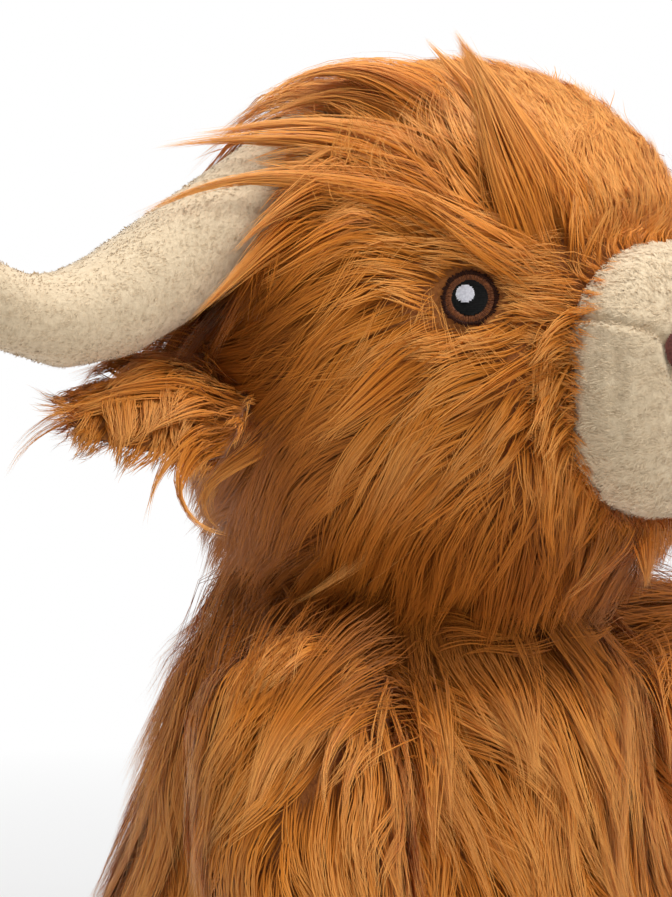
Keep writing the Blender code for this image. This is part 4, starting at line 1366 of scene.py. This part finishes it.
def coat_tail():
    ground = Ground(form_of("tail_skin"), form_of("tail_tuft"))
    comb = Comb(one_way((0.0, 0.0, -1.0)), 10 * MM, 1.0)
    fur = Fur(ground, comb, everywhere(28 * MM), everywhere(4 * MM), 0.7e6, drop=0.3)
    fur_piece("fur_tail", "tail", off_floor(fur))


# Short-pile pieces


def smooth_form(node, grow, voxel=PILE_VOXEL, rounds=12):
    """A stuffed form as one smooth, finely divided surface, larger than its filling by the fabric on it."""
    form = form_of(node)
    moves = [(vertex, vertex.normal * grow) for vertex in form.verts]
    for vertex, move in moves:
        vertex.co += move
    return applied(node, form, *remeshed(voxel, rounds))


def pile_blades(ground, density, length, width, comb, lean=1.15):
    """Thousands of tiny blades of pile, brushed one way and ruffled a little."""
    count = int(ground.areas.sum() * density)
    roots, normals = ground.scatter(count)
    way = comb(roots, normals)
    ruffle = Ripple(12 * MM)(roots) * 0.6 + Ripple(4 * MM)(roots) * 0.5 + random.normal(0, 0.3, count)
    way = turned_about(way, normals, ruffle)
    tilt = lean + 0.25 * Ripple(6 * MM)(roots) + random.normal(0, 0.2, count)
    heading = unit(way * np.sin(tilt)[:, None] + normals * np.cos(tilt)[:, None])
    lengths = length * random.uniform(0.6, 1.2, (count, 1))
    sides = unit(np.cross(heading, normals)) * width / 2
    base = roots - normals * 0.2 * MM
    bend = base + heading * lengths * 0.55 + normals * lengths * 0.08
    tip = base + unit(heading + way * 0.5) * lengths
    points = np.stack([base - sides, base + sides, bend + sides * 0.8, bend - sides * 0.8, tip], axis=1)
    return points, unit(normals * 0.45 + unit(np.cross(sides, heading)) * 0.55)


def pile_mesh(name, points, normals):
    """One mesh of blades with five points each: two at the root, two at the bend, and the tip."""
    count = len(points)
    first = np.arange(count)[:, None] * 5
    quads = (first + np.array([[0, 1, 2, 3]])).reshape(-1)
    tips = (first + np.array([[3, 2, 4]])).reshape(-1)
    mesh, corners = blades_mesh(name, points, quads, tips)
    soft = unit(np.repeat(normals, 5, axis=0) + random.normal(0, 0.10, (count * 5, 3)))
    mesh.normals_split_custom_set_from_vertices(soft)
    lay_out(mesh, count, np.array([0.1, 0.9, 0.9, 0.1, 0.5]), np.array([0, 0, 0.5, 0.5, 1]), corners)
    return mesh


def plush_piece(name, form, material, body, replaced, comb, density=1.2e6, length=PILE_LENGTH):
    ground = Ground(form)
    mesh = mesh_of(name, form)
    add_piece(name, mesh, material, body, replaced)
    points, normals = pile_blades(ground, density, length, PILE_WIDTH, comb)
    add_piece(f"{name}_pile", pile_mesh(f"{name}_pile", points, normals), material, body)


def make_horns():
    for side in SIDES:
        sign = 1 if side == "left" else -1
        form = smooth_form(f"horn_stuffing_{side}", 2.0 * MM, 1.8 * MM, 8)
        comb = Comb(one_way((sign, 0.0, -0.3)), 20 * MM, 1.0)
        plush_piece(f"horn_{side}", form, PLUSH, "head", (f"horn_skin_{side}",), comb)


def muzzle_form():
    """The muzzle's filling, larger by the plush on it."""
    return smooth_form("muzzle_stuffing", 1.9 * MM, 1.1 * MM, 8)


def make_muzzle():
    """The nose panel and the two cheek panels, sewn together along seams that draw them in."""
    form = muzzle_form()
    nose = Ground(form_of("nose_panel"))
    cheeks = {side: Ground(form_of(f"cheek_panel_{side}")) for side in SIDES}
    points, normals = points_of(form)
    gaps = {"nose": nose.gap(points)} | {side: cheeks[side].gap(points) for side in SIDES}
    cheek_gap = np.minimum(gaps["left"], gaps["right"])
    below_nose = eased((MUZZLE_MIDDLE.z + 3 * MM - points[:, 2]) / (4 * MM))
    above_chin = eased((points[:, 2] - MUZZLE_MIDDLE.z + 17 * MM) / (5 * MM))
    inner = below_nose * above_chin
    cheek_gap = cheek_gap - 2.5 * MM * inner * eased((0.024 - np.abs(points[:, 0])) / (3 * MM))
    to_seam = np.abs(gaps["nose"] - cheek_gap)
    shallow = 0.15 + 0.85 * eased((points[:, 2] - MUZZLE_MIDDLE.z + 8 * MM) / (8 * MM))
    seam = np.exp(-(to_seam / (0.7 * MM)) ** 2) * shallow
    puff = np.exp(-((to_seam - 3 * MM) / (2.5 * MM)) ** 2) * shallow
    moved = points + normals * (puff * 0.35 * MM - seam * 1.2 * MM)[:, None]
    tuck = eased((points[:, 1] + 0.1035) / (13 * MM))[:, None]
    centre = np.array(MUZZLE_MIDDLE)
    moved = moved + (centre - moved) * tuck * (0.10, 0, 0.06)
    beside = (np.abs(points[:, 0]) - 0.0345) / (2.2 * MM)
    above = (points[:, 2] - centre[2] - 1 * MM) / (15 * MM)
    fold = np.exp(-(beside**2)) * np.exp(-(above**2))
    moved = moved - normals * (fold * 1.1 * MM)[:, None]
    move_to(form, moved)
    owner = np.where(gaps["nose"] <= cheek_gap, 0, np.where(gaps["left"] < gaps["right"], 1, 2))
    form.verts.index_update()
    nodes = ("nose_panel", "cheek_panel_left", "cheek_panel_right")

    def outwards(points):
        away = points - centre
        return unit(away * (1, 0, 1) + np.array([0, 0.02, 0]))

    comb = Comb(outwards, 20 * MM, 1.0)
    for number, node in enumerate(nodes):
        part = form.copy()
        gone = []
        for face in part.faces:
            votes = [owner[corner.index] for corner in face.verts]
            if max(set(votes), key=votes.count) != number:
                gone.append(face)
        bmesh.ops.delete(part, geom=gone, context="FACES")
        name = "muzzle_" + node.replace("_panel", "")
        plush_piece(name, part, PLUSH, "head", (node,), comb, density=1.7e6, length=2.1 * MM)
    form.free()


def make_hooves():
    for side in SIDES:
        for kind, limb in (("front", "foreleg"), ("rear", "hind_leg")):
            node = f"{kind}_hoof_{side}"
            form = form_of(node)
            for vertex, normal in [(vertex, vertex.normal.copy()) for vertex in form.verts]:
                vertex.co += normal * 0.4 * MM
            form = applied(
                node,
                form,
                ("SUBSURF", {"levels": 2, "render_levels": 2}),
                *remeshed(1.6 * MM, 5),
            )
            comb = Comb(one_way((0, -1.0, -0.4)), 20 * MM, 1.0)
            plush_piece(f"hoof_{kind}_{side}", form, PLUSH, f"{limb}_{side}", (node,), comb, density=0.6e6)


def make_ear_linings():
    for side in SIDES:
        sign = 1 if side == "left" else -1
        form = applied(
            "lining",
            form_of(f"ear_lining_{side}"),
            *remeshed(1.0 * MM, 4),
        )
        comb = Comb(one_way((sign, 0.0, -0.3)), 20 * MM, 1.0)
        plush_piece(f"ear_lining_form_{side}", form, PLUSH, f"ear_{side}", (f"ear_lining_{side}",), comb)


# Embroidery

# Each stitch from end to end: the share of its length, how high it stands there, and how wide it is
RING_STITCH = ((0, 0.1, 0.6), (0.2, 0.75, 1), (0.5, 1, 1), (0.8, 0.75, 1), (1, 0.05, 0.4))
ROW_STITCH = ((-1, 0.0), (-0.7, 0.75), (0, 1), (0.7, 0.75), (1, 0.0))
MOUTH_STITCH = ((-0.08, -0.3, 0.4), (0.2, 0.8, 1), (0.5, 1, 1), (0.8, 0.8, 1), (1.08, -0.3, 0.4))


def stitch(form, rows):
    """One raised stitch over its rows of left, middle and right points."""
    corners = [[form.verts.new(point) for point in row] for row in rows]
    for first, second in zip(corners, corners[1:]):
        form.faces.new((first[0], first[1], second[1], second[0]))
        form.faces.new((first[1], first[2], second[2], second[1]))


class StitchGround:
    """The round place that stitches are worked on: a shallow dome facing out of the head."""

    def __init__(self, node, facing_node, above, surface=None):
        self.surface = surface
        faces = Ground(form_of(facing_node))
        away = np.array(middle_of(node) - HEAD_CENTRE)
        facing = faces.normals @ away > 0
        self.out = Vector((faces.normals[facing] * faces.areas[facing, None]).sum(0)).normalized()
        self.across = Vector((0, 0, 1)).cross(self.out).normalized()
        self.up = self.out.cross(self.across)
        self.middle = middle_of(node) + self.out * above

    def at(self, across, up, height):
        place = self.middle + self.across * across + self.up * up
        if self.surface:
            met = self.surface.tree.ray_cast(place + self.out * 30 * MM, -self.out)[0]
            return met + self.out * (height + STITCHES_OVER_PLUSH)
        drop = (across * across + up * up) / (2 * EYE_DOME_RADIUS)
        return place + self.out * (height - drop)


def stitch_ring(form, ground, inner, outer, stitches, thick, crown, ragged=0.0):
    """Satin stitches laid side by side from an inner circle to an outer one."""
    half = math.pi * (inner + outer) / 2 / stitches * 1.3
    for number in range(stitches):
        turn = 2 * math.pi * (number + random.uniform(-0.25, 0.25)) / stitches
        end = outer + ragged * random.uniform(-0.4, 1.0)
        rows = []
        for share, rise, wide in RING_STITCH:
            reach = inner + (end - inner) * share
            row = []
            for step in (-1, 0, 1):
                across = reach * math.cos(turn) - step * wide * half * math.sin(turn)
                up = reach * math.sin(turn) + step * wide * half * math.cos(turn)
                row.append(ground.at(across, up, thick + (crown * rise if step == 0 else 0)))
            rows.append(row)
        stitch(form, rows)


def stitch_rows(form, ground, centre, wide, high, stitches, thick, crown):
    """Satin stitches laid side by side over an oval."""
    step = high / stitches
    for number in range(stitches):
        offset = -high / 2 + (number + 0.5) * step
        half = wide / 2 * math.sqrt(max(1 - (2 * offset / high) ** 2, 0.02)) * random.uniform(0.97, 1.03)
        rows = []
        for share, rise in ROW_STITCH:
            up = centre[1] + offset + random.uniform(-0.08, 0.08) * step
            across = centre[0] + half * share
            row = []
            for side in (-1, 0, 1):
                raised = thick + crown * rise * (1 if side == 0 else 0.6)
                row.append(ground.at(across, up + side * step * 0.62, raised))
            rows.append(row)
        stitch(form, rows)


def stitched(name, form, material, node):
    bmesh.ops.recalc_face_normals(form, faces=form.faces)
    return add_piece(name, mesh_of(name, form), material, "head", (node,))


def make_eyes():
    for side in SIDES:
        ground = StitchGround(f"eye_rim_{side}", f"eye_pupil_{side}", EYE_ABOVE_MIDDLE)
        rim = bmesh.new()
        stitch_ring(rim, ground, 6.8 * MM, 8.0 * MM, 96, 0.3 * MM, 0.8 * MM, 0.6 * MM)
        stitched(f"eye_rim_stitches_{side}", rim, RIM, f"eye_rim_{side}")
        iris = bmesh.new()
        stitch_ring(iris, ground, 4.9 * MM, 7.2 * MM, 80, 0.2 * MM, 0.7 * MM)
        stitched(f"eye_iris_stitches_{side}", iris, IRIS, f"eye_iris_{side}")
        pupil = bmesh.new()
        stitch_rows(pupil, ground, (0, 0), 10.6 * MM, 10.2 * MM, 20, 0.4 * MM, 0.7 * MM)
        stitched(f"eye_pupil_stitches_{side}", pupil, PUPIL, f"eye_pupil_{side}")
        spot = middle_of(f"eye_highlight_{side}") - ground.middle
        centre = (spot.dot(ground.across), spot.dot(ground.up))
        shine = bmesh.new()
        stitch_rows(shine, ground, centre, 5.3 * MM, 5.0 * MM, 10, 1.0 * MM, 0.6 * MM)
        stitched(f"eye_highlight_stitches_{side}", shine, HIGHLIGHT, f"eye_highlight_{side}")


def make_nostrils_and_mouth():
    muzzle = Ground(muzzle_form())
    for side in SIDES:
        node = f"nostril_{side}"
        ground = StitchGround(node, node, 0, muzzle)
        outer = 0.9 * MM if side == "left" else -0.9 * MM
        form = bmesh.new()
        stitch_rows(form, ground, (outer, 1.8 * MM), 13.8 * MM, 12.4 * MM, 24, 0.2 * MM, 0.8 * MM)
        stitched(f"nostril_stitches_{side}", form, NOSTRIL, node)
    thread = np.array([tuple(vertex.co) for vertex in frame["nodes"]["mouth_stitch"].data.vertices])
    height = np.polyfit(thread[:, 0], thread[:, 2], 4)
    ends = np.linspace(thread[:, 0].min(), thread[:, 0].max(), MOUTH_STITCHES + 1)
    form = bmesh.new()
    for start, end in zip(ends, ends[1:]):
        rows = []
        for share, rise, wide in MOUTH_STITCH:
            x = start + (end - start) * share
            front = Vector((x, thread[:, 1].min() - 30 * MM, np.polyval(height, x)))
            middle = muzzle.tree.ray_cast(front, Vector((0, 1, 0)))[0] + Vector((0, -STITCHES_OVER_PLUSH, 0))
            half = Vector((-np.polyval(np.polyder(height), x), 0, 1)).normalized() * 0.85 * MM * wide
            rows.append([middle - half, middle + Vector((0, -0.9 * MM * rise, 0)), middle + half])
        stitch(form, rows)
    stitched("mouth_stitches", form, NOSTRIL, "mouth_stitch")


# Room


def make_room():
    floor = bmesh.new()
    bmesh.ops.create_grid(floor, x_segments=1, y_segments=1, size=6)
    mesh = mesh_of("floor", floor)
    material, nodes, links, shader = new_material("pale floor", 0.8)
    shader.inputs["Base Color"].default_value = (0.82, 0.82, 0.82, 1)
    place = nodes.new("ShaderNodeTexCoord")
    length = nodes.new("ShaderNodeVectorMath")
    length.operation = "LENGTH"
    links.new(place.outputs["Object"], length.inputs[0])
    fade = nodes.new("ShaderNodeMapRange")
    fade.inputs["From Min"].default_value = 0.25
    fade.inputs["From Max"].default_value = 0.7
    links.new(length.outputs["Value"], fade.inputs["Value"])
    rays = nodes.new("ShaderNodeLightPath")
    seen = nodes.new("ShaderNodeMath")
    seen.operation = "MAXIMUM"
    links.new(rays.outputs["Is Camera Ray"], seen.inputs[0])
    links.new(rays.outputs["Is Glossy Ray"], seen.inputs[1])
    amount = nodes.new("ShaderNodeMath")
    amount.operation = "MULTIPLY"
    links.new(seen.outputs["Value"], amount.inputs[0])
    links.new(fade.outputs["Result"], amount.inputs[1])
    glow = nodes.new("ShaderNodeEmission")
    glow.inputs["Strength"].default_value = 1
    mix = nodes.new("ShaderNodeMixShader")
    links.new(amount.outputs["Value"], mix.inputs["Fac"])
    links.new(shader.outputs["BSDF"], mix.inputs[1])
    links.new(glow.outputs["Emission"], mix.inputs[2])
    links.new(mix.outputs["Shader"], nodes["Material Output"].inputs["Surface"])
    mesh.materials.append(material)
    piece = bpy.data.objects.new("floor", mesh)
    bpy.context.scene.collection.objects.link(piece)


def make_light():
    world = bpy.data.worlds.new("studio")
    bpy.context.scene.world = world
    world.use_nodes = True
    nodes, links = world.node_tree.nodes, world.node_tree.links
    background = nodes["Background"]
    background.inputs["Color"].default_value = (1, 1, 1, 1)
    background.inputs["Strength"].default_value = 0.30
    white = nodes.new("ShaderNodeBackground")
    white.inputs["Strength"].default_value = 1
    white.inputs["Color"].default_value = (1, 1, 1, 1)
    rays = nodes.new("ShaderNodeLightPath")
    mix = nodes.new("ShaderNodeMixShader")
    links.new(rays.outputs["Is Camera Ray"], mix.inputs["Fac"])
    links.new(background.outputs["Background"], mix.inputs[1])
    links.new(white.outputs["Background"], mix.inputs[2])
    links.new(mix.outputs["Shader"], nodes["World Output"].inputs["Surface"])
    right, up, back = camera_axes()
    for name, place, size, power in (
        ("key", back * 0.80 + right * 0.85 + up * 1.1, 0.7, 14.5),
        ("fill", back * 0.8 - right * 1.2 + up * 0.4, 0.9, 1.1),
        ("top", Vector((0, 0.0, 1.5)), 0.8, 16.5),
    ):
        lamp = bpy.data.lights.new(name, "AREA")
        lamp.size = size
        lamp.energy = power
        light = bpy.data.objects.new(name, lamp)
        middle = Vector((0, 0, 0.2))
        light.location = middle + place
        light.rotation_euler = (-place).to_track_quat("-Z", "Y").to_euler()
        bpy.context.scene.collection.objects.link(light)


def dress_inner_and_backing():
    """The skins' dense pile roots, and what fills them."""
    bodies = frame["record"]["behaviour"]["bodies"]
    owner = {node: body for body, nodes in bodies.items() for node in nodes}
    backings = ["body_skin", "head_skin", "tail_skin", "tail_tuft"]
    backings += [f"{kind}_{side}" for kind in ("arm_skin", "leg_skin", "ear_back") for side in SIDES]
    for node in backings:
        dress_node(node, BACKING, owner[node])
    fillings = [node for node in owner if "stuffing" in node or node == "neck_wadding"]
    for node in fillings:
        dress_node(node, FILLING, owner[node])
    dress_node("seat_bead_bag", BAG_CLOTH, "body")


scene = bpy.context.scene
scene.view_settings.view_transform = "Standard"
place_camera()
make_room()
make_light()
dress_inner_and_backing()
make_horns()
make_muzzle()
make_hooves()
make_ear_linings()
make_eyes()
make_nostrils_and_mouth()
coat_head()
coat_body()
for side in SIDES:
    coat_limb("arm", f"foreleg_{side}", side, 46, 10, 0.46e6, ARM_STROKES_PX)
    coat_limb("leg", f"hind_leg_{side}", side, 34, 8, 0.38e6)
    coat_ear(side)
coat_tail()
